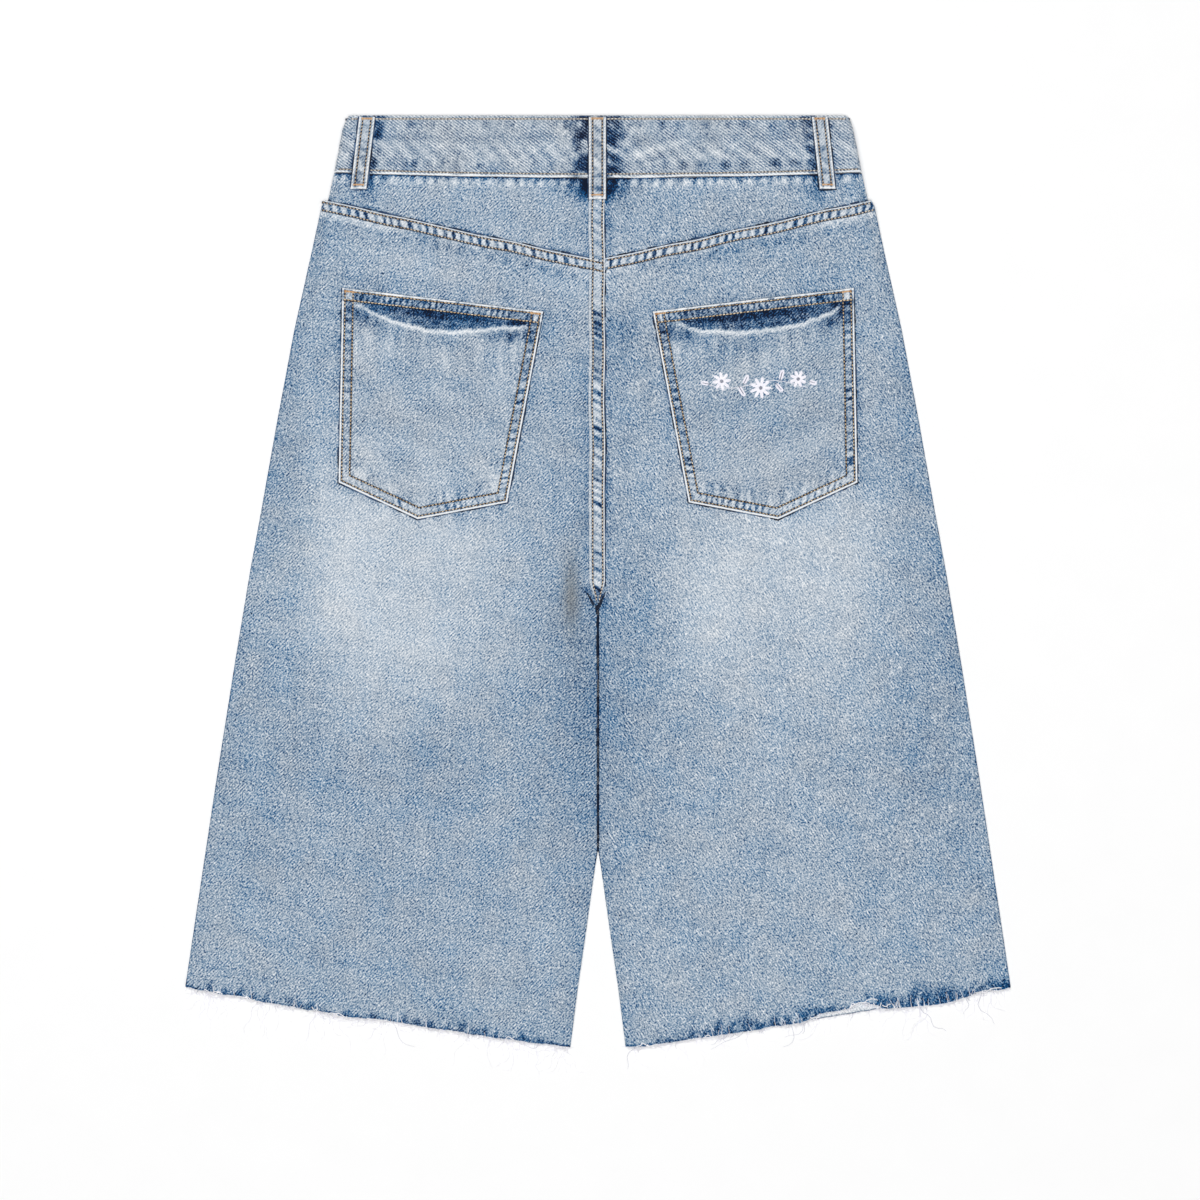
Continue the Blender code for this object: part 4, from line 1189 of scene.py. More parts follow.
SEAT_SEAM_LEFT = -6.1
SEAT_SEAM_RIGHT = 4.8
SEAT_SEAM_END_Y = -4.0
SEAT_SEAM_TAPER = 0.75
SEAT_ROWS = (-3.5, 3.2)
YOKE_SEAM_WIDTH = 8.0
YOKE_ROWS = (1.7, 7.1)
SEAT_ROPE_PITCH = 6.4
YOKE_ROPE_PITCH = 5.9
SEAT_BLOCKS = (
    # y, half_height, amount: where the hollows of the seat seam stay dark
    (240.0, 2.0, 0.14), (230.0, 1.8, 0.12), (192.4, 1.7, 0.38), (185.6, 1.7, 0.38), (181.5, 1.4, 0.22),
    (178.3, 1.5, 0.33), (173.0, 1.8, 0.20), (168.6, 1.5, 0.28), (161.8, 1.5, 0.28), (155.0, 1.5, 0.26),
    (148.6, 1.8, 0.26), (138.0, 2.0, 0.12), (114.2, 1.8, 0.24), (107.0, 2.0, 0.20), (103.0, 1.6, 0.16),
    (83.6, 1.7, 0.20), (79.6, 1.6, 0.16), (63.2, 1.7, 0.18), (29.5, 1.8, 0.18), (18.8, 1.7, 0.15),
    (4.0, 3.0, 0.20),
)
print("yoke seam rows:", YOKE_ROWS, "seat seam rows:", SEAT_ROWS)


# %% Seat seam
def seat_narrow(y):
    return 1.0 - SEAT_SEAM_TAPER * smooth((12.0 - y) / 16.0)


def seat_wander(y):
    """How far the seat seam strays from a straight line."""
    return 0.35 * wander(0.0, y, 30.0, 111)


def seat_x(flat_x, y):
    """Where a line of the seat seam lies: the strip is narrower and straighter at the crotch."""
    return flat_x * seat_narrow(y) + seat_wander(y) * smooth((y - 20.0) / 30.0)


def yoke_strip_y(side, x, from_upper):
    """Where a line of a yoke's seam lies, by its distance from the strip's upper edge."""
    return yoke_seam_y(x) + 0.5 * YOKE_SEAM_WIDTH - from_upper + 0.25 * wander(x, 0.0, 20.0, 121 + side)


def crossing_y(x, from_upper):
    """The left yoke's seam runs on across the seat seam to its right edge."""
    return yoke_seam_y(SEAT_SEAM_LEFT) + 0.5 * YOKE_SEAM_WIDTH - from_upper - 0.22 * (x - SEAT_SEAM_LEFT)


def seat_seam():
    width = SEAT_SEAM_RIGHT - SEAT_SEAM_LEFT
    u, v = grid((width, 0.62, (0.2, 0.5), (0.2, 0.45, 0.8)), (290.0, 0.9, (0.3,), (0.3, 0.7)))
    y = mix(band_low_y(0.0) - GAP, SEAT_SEAM_END_Y, v)
    flat_x = mix(SEAT_SEAM_LEFT, SEAT_SEAM_RIGHT, u)
    x = seat_x(flat_x, y)
    from_right, from_left = SEAT_SEAM_RIGHT - flat_x, flat_x - SEAT_SEAM_LEFT
    rows = row_marks(flat_x, SEAT_ROWS)
    middle = between(flat_x, SEAT_ROWS)
    rope = roping(y, flat_x, SEAT_ROPE_PITCH, 112, 0.55)
    strong = smooth(0.5 + 0.8 * wander(0.0, y, 17.0, 113))
    under = cloth_top(x, y) + 0.1
    from_upper = crossing_y(x, 0.0) - y
    crossed = between(from_upper, (0.0, YOKE_SEAM_WIDTH), 0.7)
    cross_rows = row_marks(from_upper, YOKE_ROWS)
    top = under + WALL + 0.2 * middle * (1.0 + rope) - ROW_DEPTH * rows
    top = top - rounding(np.minimum(from_right, from_left), 0.6) + crossed * (0.45 - 0.25 * cross_rows)
    junction = hump(y - 222.0, 24.0, 4)
    ribs = (0.11 + 0.08 * strong) * rope * (1.0 - 0.8 * junction)
    wear_and_shade = middle * (0.032 + ribs + 0.08 * junction) - 0.26 * rows
    for block_y, half, amount in SEAT_BLOCKS:
        wear_and_shade -= 1.6 * amount * middle * hump(y - block_y + 0.45 * flat_x, half, 4)
    wear_and_shade = wear_and_shade + folded_edge(from_right, 0.5, 0.42) + 0.16 * smooth(1.2 - np.abs(from_left - 0.9) / 1.2)
    wear_and_shade = wear_and_shade + folded_edge(from_upper, 0.42, 0.36) * (from_upper > 0.0) - 0.24 * cross_rows
    wear_and_shade -= 0.25 * smooth((10.0 - y) / 16.0)
    return shell("seam_centre_back", (x, y, top), (x, y, under), wear_and_shade, [SEAM_CLOTH, REVERSE])


SEAT_SEAM = seat_seam()
print("seat seam:", len(SEAT_SEAM.data.polygons), "faces")


# %% Yoke seams
def yoke_seam(side):
    u, v = grid((188.0, 1.0, (0.3, 0.7), (0.4,)), (YOKE_SEAM_WIDTH, 0.62, (0.2, 0.45, 0.8), (0.25, 0.6)))
    start = SEAT_SEAM_RIGHT if side > 0 else -SEAT_SEAM_LEFT
    x = mix(along(LEG_SIDE, YOKE_SIDE_Y) - 0.4, start + 0.1, u)
    from_upper = v * YOKE_SEAM_WIDTH
    y = yoke_strip_y(side, x, from_upper)
    x = np.minimum(x, side_x(np.minimum(y, YOKE_SIDE_Y)) - 0.33 * np.maximum(y - YOKE_SIDE_Y + 1.8, 0.0))
    rows = row_marks(from_upper, YOKE_ROWS)
    middle = between(from_upper, YOKE_ROWS, 1.1)
    rope = roping(x, from_upper, YOKE_ROPE_PITCH, 124 + side)
    under = cloth_top(side * x, y) + 0.1
    from_end = side_x(y) - x
    top = under + WALL + 0.22 * middle * (1.0 + rope) - ROW_DEPTH * rows
    top -= rounding(np.minimum(np.minimum(from_upper, YOKE_SEAM_WIDTH - from_upper), from_end), 0.6)
    wear_and_shade = 0.02 + middle * (-0.11 + 0.30 * rope) - 0.24 * rows + folded_edge(from_upper, 0.42, 0.36)
    wear_and_shade -= 0.16 * fade(YOKE_SEAM_WIDTH - from_upper, 0.7)
    outside, inside = (side * x, y, top), (side * x, y, under)
    return shell("seam_yoke_" + word(side), outside, inside, wear_and_shade, [SEAM_CLOTH, REVERSE])


YOKE_SEAMS = {side: yoke_seam(side) for side in (-1, 1)}
print("yoke seams:", face_count(YOKE_SEAMS.values()), "faces")

# %% [markdown]
# ### Pockets
#
# Each pocket is a patch with a double hem along its mouth. The hem is stiffer than the cloth below it, so the
# cloth sags away under the second row of stitches: a lens of unfaded navy, darkened further as painted shade
# of the sag, with a white crease under it. A short table gives how deep that crease lies along the mouth, and
# it is different on each pocket.

# %% Sizes of the pocket's mouth
POCKET_ROWS = (2.1, 7.5)
HEM_ROWS = (2.0, 7.8)
LOW_BORDER_Y = 92.0
LOW_ROPE_PITCH = 4.4
SIDE_ROPE_PITCH = 6.8
MOUTH_ROPE_PITCH = 3.9
MOUTH_CREASE = {
    -1: ((0.0, 8.2), (8.0, 8.4), (9.5, 9.2), (17.0, 12.0), (28.6, 15.8), (37.0, 18.2), (58.0, 21.4),
         (73.0, 21.8), (90.0, 19.0), (109.0, 14.8), (121.0, 12.8), (130.0, 10.4), (138.0, 8.2)),
    1: ((0.0, 8.2), (8.0, 9.0), (18.0, 14.6), (28.0, 17.6), (36.4, 20.2), (72.0, 21.8), (96.0, 18.6),
        (111.0, 15.4), (117.5, 11.6), (124.0, 8.8), (138.0, 8.2)),
}
FRAYED_MOUTH = {-1: (34.0, 6.0), 1: (118.0, 3.0)}


def pocket_places():
    """The pocket's grid in the left pocket's coordinates, and the distances that its finish depends on."""
    outer, low_outer, point, low_inner, inner = POCKET_OUTLINE
    point_u = (point[0] - low_outer[0]) / (low_inner[0] - low_outer[0])
    across = np.unique(np.append(graded(126.0, 1.25, EDGE_LINES, EDGE_LINES), point_u))
    u, v = np.meshgrid(across, graded(136.0, 1.25, EDGE_LINES, EDGE_LINES))
    low_x = np.interp(u, (0.0, point_u, 1.0), (low_outer[0], point[0], low_inner[0]))
    low_y = np.interp(u, (0.0, point_u, 1.0), (low_outer[1], point[1], low_inner[1]))
    x = mix(mix(outer[0], inner[0], u), low_x, v)
    y = mix(mix(outer[1], inner[1], u), low_y, v)
    sides = np.array([segment_distance(x, y, a, b) for a, b in zip(POCKET_OUTLINE, POCKET_OUTLINE[1:])])
    run = np.where(np.isin(np.argmin(sides, axis=0), (0, 3)), y, x)
    mouth = math.dist(outer, inner)
    mouth_run = ((x - outer[0]) * (inner[0] - outer[0]) + (y - outer[1]) * (inner[1] - outer[1])) / mouth
    return u, v, x, y, np.min(sides, axis=0), segment_distance(x, y, outer, inner), run, mouth_run


print("deepest crease under the mouth:", max(row[1] for row in MOUTH_CREASE[-1]), "mm below the top edge")


# %% How a pocket is worn
def mouth_lens(side, mouth_run, from_top):
    """How far a point lies from the hem (0) to the crease (1) below it, and how deep the lens is there."""
    crease = along(MOUTH_CREASE[side], mouth_run) + 0.6 * wander(mouth_run, 0.0, 4.2, 131 + side)
    depth = np.maximum(crease - HEM_ROWS[1] - 0.4, 0.01)
    return (from_top - HEM_ROWS[1] - 0.4) / depth, smooth(depth / 5.0), from_top - crease


def border_rope(side, y, run, from_edge):
    """The roping of a pocket's border, which is closer along the lower edges."""
    return roping(run, from_edge, np.where(y < LOW_BORDER_Y, LOW_ROPE_PITCH, SIDE_ROPE_PITCH), 133 + side)


def pocket_wear_and_shade(side, x, y, from_edge, from_top, run, mouth_run):
    lens, depth, from_crease = mouth_lens(side, mouth_run, from_top)
    rows = row_marks(from_edge, POCKET_ROWS)
    in_border = between(from_edge, POCKET_ROWS)
    low = smooth((96.0 - y) / 8.0)
    rope = border_rope(side, y, run, from_edge)
    strong = mix(smooth(0.35 + 0.9 * wander(run, 0.0, 16.0, 135 + side)), 0.75, low)
    to_corner = np.min([np.hypot(x - corner[0], y - corner[1]) for corner in POCKET_OUTLINE[1:-1]], axis=0)
    pale = hump(to_corner, 11.0, 4)
    value = 0.017 - 0.012 * side + 0.03 * wander(x, y, 14.0, 137 + side) + 0.04 * smooth((120.0 - y) / 30.0)
    # The ribs between the two rows of the border, which fade out at the lower corners.
    outer_low = (x < -140.0) * smooth((150.0 - y) / 20.0) * (side < 0)
    rope = rope * (1.0 - 0.75 * pale) * (1.0 - 0.6 * outer_low)
    value += in_border * (-0.09 + (0.10 + 0.12 * strong + 0.05 * low) * rope + 0.10 * pale)
    inner_high = (x > -80.0) * smooth((y - 90.0) / 20.0) * (side > 0)
    value += in_border * (0.06 * outer_low - 0.05 * inner_high + 0.025 * low * (side > 0))
    value -= 0.22 * rows
    # Inside the border: a rubbed line, unfaded spots along the lower edges, and streaks below the mouth.
    inner_rub = smooth(1.4 - np.abs(from_edge - 11.0) / 4.0)
    value += 0.13 * inner_rub * smooth(0.2 + 1.3 * wander(run, 0.0, 3.0, 139 + side)) * (0.35 + 0.65 * low)
    low_spots = smooth(0.1 + 1.6 * wander(run, 0.25 * y, 3.2, 141 + side))
    value -= 0.12 * low * smooth(1.6 - np.abs(from_edge - 12.0) / 4.4) * low_spots
    streaks = smooth(wander(x, y * 0.12, 4.0, 143 + side))
    value += 0.10 * streaks * smooth((from_top - 20.0) / 8.0) * smooth((58.0 - from_top) / 26.0)
    # Dappled, unfaded cloth under the mouth's corners.
    from_corner = np.minimum(mouth_run, MOUTH_LENGTH - mouth_run)
    dapple = 0.85 + 0.5 * wander(x, 0.4 * y, 3.2, 147 + side)
    value -= 0.05 * hump(from_crease - 9.0, 8.0)
    value -= 0.25 * dapple * spot(from_corner - 17.0, 10.0, from_crease - 5.4, 4.4)
    value -= 0.15 * dapple * spot(from_corner - 6.0, 8.0, from_top - 16.0, 7.0)
    # The dark lens under the mouth's hem, partly unfaded navy and partly painted shade of the sag, the white
    # crease along its lower edge, and a painted shadow under the hem at one end of the mouth.
    inside = smooth(lens / 0.06) * (1.0 - smooth((lens - 0.82) / 0.2))
    ragged = 0.06 * wander(x, y, 3.0, 145)
    darkest = smooth((0.50 - lens) / 0.2) * smooth(1.35 - np.abs(mouth_run - 68.0 - 8.0 * side) / 42.0)
    value -= depth * inside * (0.28 + 0.015 * side + (0.23 + 0.03 * side) * darkest + ragged)
    value += 0.35 * np.sqrt(depth) * hump(from_crease - 0.5, 1.4)
    shaded = smooth((18.0 - mouth_run) / 5.0) if side > 0 else smooth((mouth_run - 114.0) / 5.0)
    value -= 0.42 * shaded * hump(from_top - 10.0, 1.5)
    return value, rows


def hem_wear_and_shade(side, from_edge, from_top, mouth_run, x, y):
    """The mouth's hem: navy with pale bars, and a white, slightly frayed fold on top."""
    bars = roping(mouth_run, from_top, MOUTH_ROPE_PITCH, 151 + side)
    open_bars = smooth(0.5 + 0.9 * wander(mouth_run, 0.0, 15.0, 156 + side))
    middle = between(from_top, HEM_ROWS, 1.0)
    value = -0.13 + middle * (-0.05 + (0.16 + 0.12 * open_bars) * bars) + 0.08 * wander(x, y, 3.0, 153)
    from_corner = np.minimum(mouth_run, MOUTH_LENGTH - mouth_run)
    value -= 0.13 * hump(from_corner - 18.0, 9.0)
    value += 0.28 * smooth(1.0 - np.abs(from_edge - 4.6) / 2.6)
    fold = 1.6 + 0.6 * wander(mouth_run, 0.0, 4.0, 154 + side) + 0.5 * wander(mouth_run, 0.0, 1.8, 158 + side)
    value += 0.56 * smooth(1.4 - from_top / fold)
    place, half = FRAYED_MOUTH[side]
    patch = smooth(1.3 - np.hypot((mouth_run - place) / half, (from_top - 1.2) / 2.3))
    # The thin dark line at the very top is partly unfaded indigo and partly painted shade where the fold
    # rolls under.
    return value + 0.55 * patch - 0.7 * fade(from_top, 0.3)


# %% Pockets
def back_pocket(side):
    u, v, x, y, from_edge, from_top, run, mouth_run = pocket_places()
    value, rows = pocket_wear_and_shade(side, x, y, from_edge, from_top, run, mouth_run)
    hem = 1.0 - smooth((from_top - HEM_ROWS[1]) / 0.5)
    value = mix(value, hem_wear_and_shade(side, from_edge, from_top, mouth_run, x, y), hem)
    value -= 0.24 * row_marks(from_top, HEM_ROWS)
    value += folded_edge(from_edge, 0.75, 0.5)
    lens, depth, from_crease = mouth_lens(side, mouth_run, from_top)
    inside = smooth(np.minimum(u, 1.0 - u) / POCKET_RISE_SHARE)
    belly = POCKET_PUFF * inside * smooth((1.0 - v) / POCKET_RISE_SHARE)
    sag = POCKET_SAG * depth * inside * hump(lens - 0.15, 0.4)
    crease = 0.45 * depth * inside * hump(from_crease, 2.0)
    doubled = WALL * (1.0 - smooth((from_top - POCKET_HEM) / 0.9))
    border = np.minimum(from_edge, from_top)
    rope = border_rope(side, y, run, from_edge)
    relief = 0.2 * between(from_edge, POCKET_ROWS) * (1.0 + rope) - ROW_DEPTH * rows
    relief -= ROW_DEPTH * row_marks(from_top, HEM_ROWS)
    relief = relief + 0.12 * wander(x, y, 11.0, 161 + side) * inside - rounding(border, EDGE_RADIUS)
    under = cloth_top(-side * x, y) + 0.12 + np.maximum(belly - sag, 0.0)
    top = under + WALL + doubled + crease + relief
    outside, inside = (-side * x, y, top), (-side * x, y, under)
    return shell("pocket_" + word(side), outside, inside, value, [POCKET_CLOTH, REVERSE])


POCKETS = {side: back_pocket(side) for side in (-1, 1)}
print("pockets:", face_count(POCKETS.values()), "faces")

# %% [markdown]
# ### Belt loops
#
# A loop is a strip folded in three and sewn along both edges. It is stiff, so it arches a little over the
# waistband, and its two folded edges stand higher than its middle.

# %% Belt loops
BACK_LOOPS = (
    # node, top_x, bottom_x, bottom_y, width
    ("belt_loop_back_left", -156.7, -162.6, 276.9, 10.8),
    ("belt_loop_back_centre", -0.4, -0.4, 270.0, 11.7),
    ("belt_loop_back_right", 150.5, 155.9, 277.0, 10.8),
)
FRONT_LOOPS = (
    # node, top_x, bottom_x, width
    ("belt_loop_front_left", -86.0, -88.0, 10.8),
    ("belt_loop_front_right", 86.0, 88.0, 10.8),
)
LOOP_LENGTH = 50.0
LOOP_LINES = (0.2, 0.5, 0.9)
LOOP_OVERHANG = 9.0
LOOP_ARCH = 0.8
LOOP_ROW = 2.6
LOOP_FOLD = 1.9
BEAD_PITCH = 2.35


def loop_finish(u, v, width, length, seed):
    """The relief of a loop, and its wear and painted shade, from its edges inward."""
    from_edge = np.minimum(u, 1.0 - u) * width
    from_end = (1.0 - v) * length
    rows = hump(from_edge - LOOP_ROW, ROW_WIDTH)
    relief = 0.35 * hump(from_edge - 1.0, 0.8) - 0.3 * rows
    relief -= 0.35 * hump(from_end - LOOP_FOLD - 1.0, 0.9)
    relief -= rounding(np.minimum(from_edge, np.minimum(from_end, v * length)), EDGE_RADIUS)
    value = 0.01 + 0.05 * wander(u * width, v * length, 7.0, seed) - 0.18 * rows
    value -= 0.16 * hump(from_end - 7.5, 4.0) * smooth(0.6 + wander(u * width, 0.0, 4.0, seed + 1))
    dapple = smooth(0.1 + 1.5 * wander(0.5 * u * width, v * length, 3.0, seed + 3))
    value += (0.05 - 0.24 * dapple) * smooth((from_edge - LOOP_ROW) / 0.9)
    along_edge = v * length * 2.0 * np.pi / BEAD_PITCH
    beads = 0.4 + 0.28 * np.sin(along_edge + 2.0 * wander(v * length, 0.0, 9.0, seed + 2))
    value += folded_edge(from_edge, 0.6, 1.0) * (beads * (from_edge > 0.3) + 0.4 * (from_edge <= 0.3))
    return relief, value + 0.42 * smooth(1.2 - np.abs(from_end - 0.8) / 0.9)


def back_loop(name, top_x, bottom_x, bottom_y, width):
    length = TOP_Y - bottom_y
    u, v = grid((width, 0.6, LOOP_LINES, LOOP_LINES), (length, 0.9, (0.25, 0.6), (0.25, 0.6, 1.1)))
    y = mix(TOP_Y - 1.1, bottom_y, v)
    centre = mix(top_x, bottom_x, v)
    x = centre + (u - 0.5) * width
    edge_y = band_low_y(top_x)
    below = cloth_top(centre, np.minimum(y, edge_y)) + (LAYER_GAP + WALL if abs(bottom_x) < 6.0 else 0.0)
    under = mix(below, np.maximum(BACK_BAND_Z + BAND_WALL, below), smooth((y - edge_y + 7.0) / 7.0))
    under = under + GAP + LOOP_ARCH * np.sin(np.pi * v) ** 2
    relief, value = loop_finish(u, v, width, length, 171 + int(abs(top_x)))
    top = under + LOOP_WALL + relief
    return shell("denim_" + name, (x, y, top), (x, y, under), value, [LOOP_CLOTH, REVERSE])


def front_loop(name, top_x, bottom_x, width):
    top_y = TOP_Y - front_dip(top_x)
    u, v = grid((width, 0.9, LOOP_LINES, LOOP_LINES), (LOOP_LENGTH, 1.4, (0.3, 0.7), (0.3, 0.7)))
    x = mix(top_x, bottom_x, v) + (u - 0.5) * width
    y = mix(top_y, band_low_y(x) - front_dip(x) - LOOP_OVERHANG, v)
    relief, value = loop_finish(u, v, width, LOOP_LENGTH, 181 + int(abs(top_x)))
    upper = np.full_like(u, FRONT_BAND_Z - GAP)
    return shell("denim_" + name, (x, y, 0.4 - relief), (x, y, upper), value, [LOOP_CLOTH, REVERSE])


LOOPS = {row[0]: back_loop(*row) for row in BACK_LOOPS}
LOOPS.update({row[0]: front_loop(*row) for row in FRONT_LOOPS})
print("belt loops:", sorted(LOOPS))

# %% [markdown]
# ## Stitches
#
# Each stitch is a short thread of its own that comes up out of the cloth, lies along the row and goes down
# again. All threads here, from stitches to fringe, come from one function that sweeps a small ring along many
# paths at once and joins them as one mesh. A stitch finds its height by a ray cast down onto its own piece,
# so it sits in the dent that its row presses into the cloth. A straight dark thread, half sunk into the
# cloth under each row, shows between two stitches: it is painted shade of the needle holes and the dent.


# %% The thread builder
def threads(name, runs, material, sides=5):
    """One mesh of round threads from runs of (paths, shades, radii). Paths are (count, stations, 3)."""
    turn = 2.0 * np.pi * np.arange(sides) / sides
    points, faces, tones = [], [], []
    first = 0
    for paths, shades, radii in runs:
        count, stations, _ = paths.shape
        ahead = np.gradient(paths, axis=1)
        ahead /= np.linalg.norm(ahead, axis=2, keepdims=True) + 1e-9
        sideways = np.cross(ahead, (0.0, 0.0, 1.0))
        sideways /= np.linalg.norm(sideways, axis=2, keepdims=True) + 1e-9
        upward = np.cross(sideways, ahead)
        ring = (sideways[:, :, None, :] * np.cos(turn)[None, None, :, None]
                + upward[:, :, None, :] * np.sin(turn)[None, None, :, None])
        radii = np.broadcast_to(radii, (count, stations))
        points.append((paths[:, :, None, :] + radii[:, :, None, None] * ring).reshape(-1, 3))
        index = first + np.arange(count * stations * sides).reshape(count, stations, sides)
        here, after = index[:, :-1], index[:, 1:]
        walls = np.stack([here, np.roll(here, -1, axis=2), np.roll(after, -1, axis=2), after], axis=-1)
        faces += walls.reshape(-1, 4).tolist() + index[:, 0, ::-1].tolist() + index[:, -1, :].tolist()
        tones.append(np.repeat(shades, stations * sides))
        first += count * stations * sides
    values = {"shade": np.concatenate(tones)}
    return new_object(name, np.concatenate(points), faces, [material], values, crisp=80.0)


print("thread builder: runs of paths become one mesh")


# %% Finding the cloth under a line
def walk(points, pitch):
    """Evenly spaced places along a line of points, with the direction at each."""
    points = np.asarray(points, dtype=float)
    steps = np.hypot(*np.diff(points, axis=0).T)
    length = np.concatenate([[0.0], np.cumsum(steps)])
    places = np.arange(0.5 * pitch, length[-1], pitch)
    x = np.interp(places, length, points[:, 0])
    y = np.interp(places, length, points[:, 1])
    ahead = np.stack([np.interp(places + 0.3, length, column) - np.interp(places - 0.3, length, column)
                      for column in points.T])
    ahead = ahead / (np.hypot(*ahead) + 1e-9)
    return np.stack([x, y], axis=1), ahead.T


def surface_of(*pieces):
    """A tree of the faces of one or more pieces, for ray casts."""
    corners, faces = [], []
    for piece in pieces:
        first = len(corners)
        corners += [vert.co[:] for vert in piece.data.vertices]
        faces += [[first + index for index in face.vertices] for face in piece.data.polygons]
    return BVHTree.FromPolygons(corners, faces)


def land(tree, spots, from_below=False):
    """The height in millimetres of the cloth at each (x, y), seen from above or from below."""
    start, way = (-0.02, 1.0) if from_below else (0.05, -1.0)
    found = []
    for x, y in spots:
        hit = tree.ray_cast(Vector((x * MM, y * MM, start)), Vector((0.0, 0.0, way)))[0]
        found.append(np.nan if hit is None else hit.z / MM)
    return np.array(found)


def landed(tree, spots, ahead, from_below=False):
    """The spots that lie over the cloth, with their directions and the cloth's heights."""
    heights = land(tree, spots, from_below)
    good = ~np.isnan(heights)
    return spots[good], ahead[good], heights[good]


def short_lengths(spots, ahead, heights, half):
    """Straight paths of two stations that reach half a length to either side of each spot."""
    paths = np.empty((len(spots), 2, 3))
    paths[:, :, :2] = spots[:, None, :] + ahead[:, None, :] * np.array([-half, half])[None, :, None]
    paths[:, :, 2] = heights[:, None]
    return paths


print("a line of 10 mm holds", len(walk([(0.0, 0.0), (10.0, 0.0)], 2.0)[0]), "places 2 mm apart")

# %% Rows of stitches
STITCH_PITCH = 2.35
STITCH_RADIUS = 0.46
HOLE_SHADOW_RADIUS = 0.86
HOLE_SHADOW_TONE = -0.5
STITCH_PROFILE = np.array((
    # place along the stitch, lift, share of the full width
    (-0.5, -0.42, 0.75), (-0.36, -0.02, 1.0), (-0.14, 0.13, 1.05),
    (0.14, 0.13, 1.05), (0.36, -0.02, 1.0), (0.5, -0.42, 0.75),
))


def stitch_row(tree, line, seed, shade, pitch=STITCH_PITCH, from_below=False, share=0.64, gap=HOLE_SHADOW_TONE):
    """Two runs of threads: a row's stitches, and a straight dark line under them, painted shade of the needle
    holes.

    The share is how much of the pitch a stitch fills, and the gap is the tone of that painted shade line.
    """
    chance = np.random.default_rng(seed)
    spots, ahead = walk(line, pitch)
    spots, ahead, heights = landed(tree, spots + chance.normal(0.0, 0.05, spots.shape), ahead, from_below)
    count = len(spots)
    length = share * pitch * chance.uniform(0.88, 1.06, count)
    lean = chance.normal(0.10, 0.05, count)
    ahead += np.stack([-ahead[:, 1], ahead[:, 0]], axis=1) * lean[:, None]
    places, lift, widths = STITCH_PROFILE.T
    lift = lift * (-1.0 if from_below else 1.0)
    paths = np.empty((count, len(places), 3))
    paths[:, :, :2] = spots[:, None, :] + ahead[:, None, :] * (length[:, None] * places)[:, :, None]
    paths[:, :, 2] = np.maximum(heights[:, None] + lift, 1.05 * STITCH_RADIUS)
    sunk = np.maximum(heights + (0.40 if from_below else -0.40), HOLE_SHADOW_RADIUS)
    hole_shadow = short_lengths(spots, ahead, sunk, 0.52 * pitch)
    shades = np.clip(chance.normal(shade, 0.17, count), 0.1, 1.0)
    return [(paths, shades, STITCH_RADIUS * widths), (hole_shadow, np.full(count, gap), HOLE_SHADOW_RADIUS)]


def thread_material(name, shades, rough=0.75):
    """A thread's finish: its shade comes from the mesh, with the twist of its fibres as bump."""
    made, tree, shader = new_material(name)
    shade = mesh_value(tree, "shade")
    place = object_place(tree)
    twist = add_node(tree, "ShaderNodeTexNoise", {"Vector": place, "Scale": 2600.0, "Detail": 1.0}).outputs[0]
    tone = sum_up(tree, "MULTIPLY_ADD", twist, 0.35, sum_up(tree, "SUBTRACT", shade, 0.17))
    colour = colour_ramp(tree, tone, [(position, srgb(*shown)) for position, shown in shades])
    relief = {"Height": twist, "Strength": 0.3, "Distance": 0.0002}
    fibre = add_node(tree, "ShaderNodeBump", relief).outputs[0]
    fill(tree, shader, {"Base Color": colour, "Normal": fibre})
    fill(tree, shader, {"Roughness": rough, "Specular IOR Level": 0.25})
    return made


TAN_THREAD = thread_material(
    "thread_tan", ((0.0, (30, 38, 58)), (0.14, (78, 70, 66)), (0.4, (140, 122, 102)), (0.7, (196, 172, 142)),
                   (1.0, (234, 220, 198))))
SAND_THREAD = thread_material(
    "thread_sand", ((0.0, (30, 38, 58)), (0.14, (80, 80, 86)), (0.4, (138, 132, 126)), (0.7, (190, 178, 162)),
                    (1.0, (228, 220, 206))))
GOLD_THREAD = thread_material(
    "thread_gold", ((0.0, (24, 32, 52)), (0.14, (84, 72, 62)), (0.4, (154, 132, 104)), (0.7, (208, 182, 144)),
                    (1.0, (240, 222, 194))))
ORANGE_THREAD = thread_material(
    "thread_orange", ((0.0, (124, 78, 48)), (0.45, (210, 164, 118)), (1.0, (244, 216, 176))))
WHITE_THREAD = thread_material(
    "thread_white", ((0.0, (96, 104, 122)), (0.3, (200, 202, 214)), (0.7, (238, 236, 246)),
                     (1.0, (248, 247, 252))), rough=0.9)
FRINGE_THREAD = thread_material(
    "thread_fringe", ((0.0, (150, 154, 174)), (0.3, (226, 226, 238)), (0.7, (246, 245, 252)),
                      (1.0, (254, 253, 255))), rough=0.95)
NAVY_SHADOW_THREAD = thread_material(
    "thread_navy_shadow", ((0.0, (12, 22, 42)), (0.6, (40, 64, 98)), (1.0, (96, 122, 154))))
print("threads:", TAN_THREAD.name, ORANGE_THREAD.name, WHITE_THREAD.name)


# %% Lines to sew along
def line_over(x, y):
    return np.stack(np.broadcast_arrays(x, y), axis=1)


def inset(points, distance):
    """A line moved inward by a distance, with mitred corners. Inward is to the left along the line."""
    points = np.asarray(points, dtype=float)
    ahead = np.diff(points, axis=0)
    ahead /= np.linalg.norm(ahead, axis=1, keepdims=True)
    inward = np.stack([-ahead[:, 1], ahead[:, 0]], axis=1)
    moved = [points[0] + inward[0] * distance]
    for index in range(1, len(points) - 1):
        both = inward[index - 1] + inward[index]
        moved.append(points[index] + both * distance / (0.5 * np.dot(both, both)))
    moved.append(points[-1] + inward[-1] * distance)
    return np.array(moved)


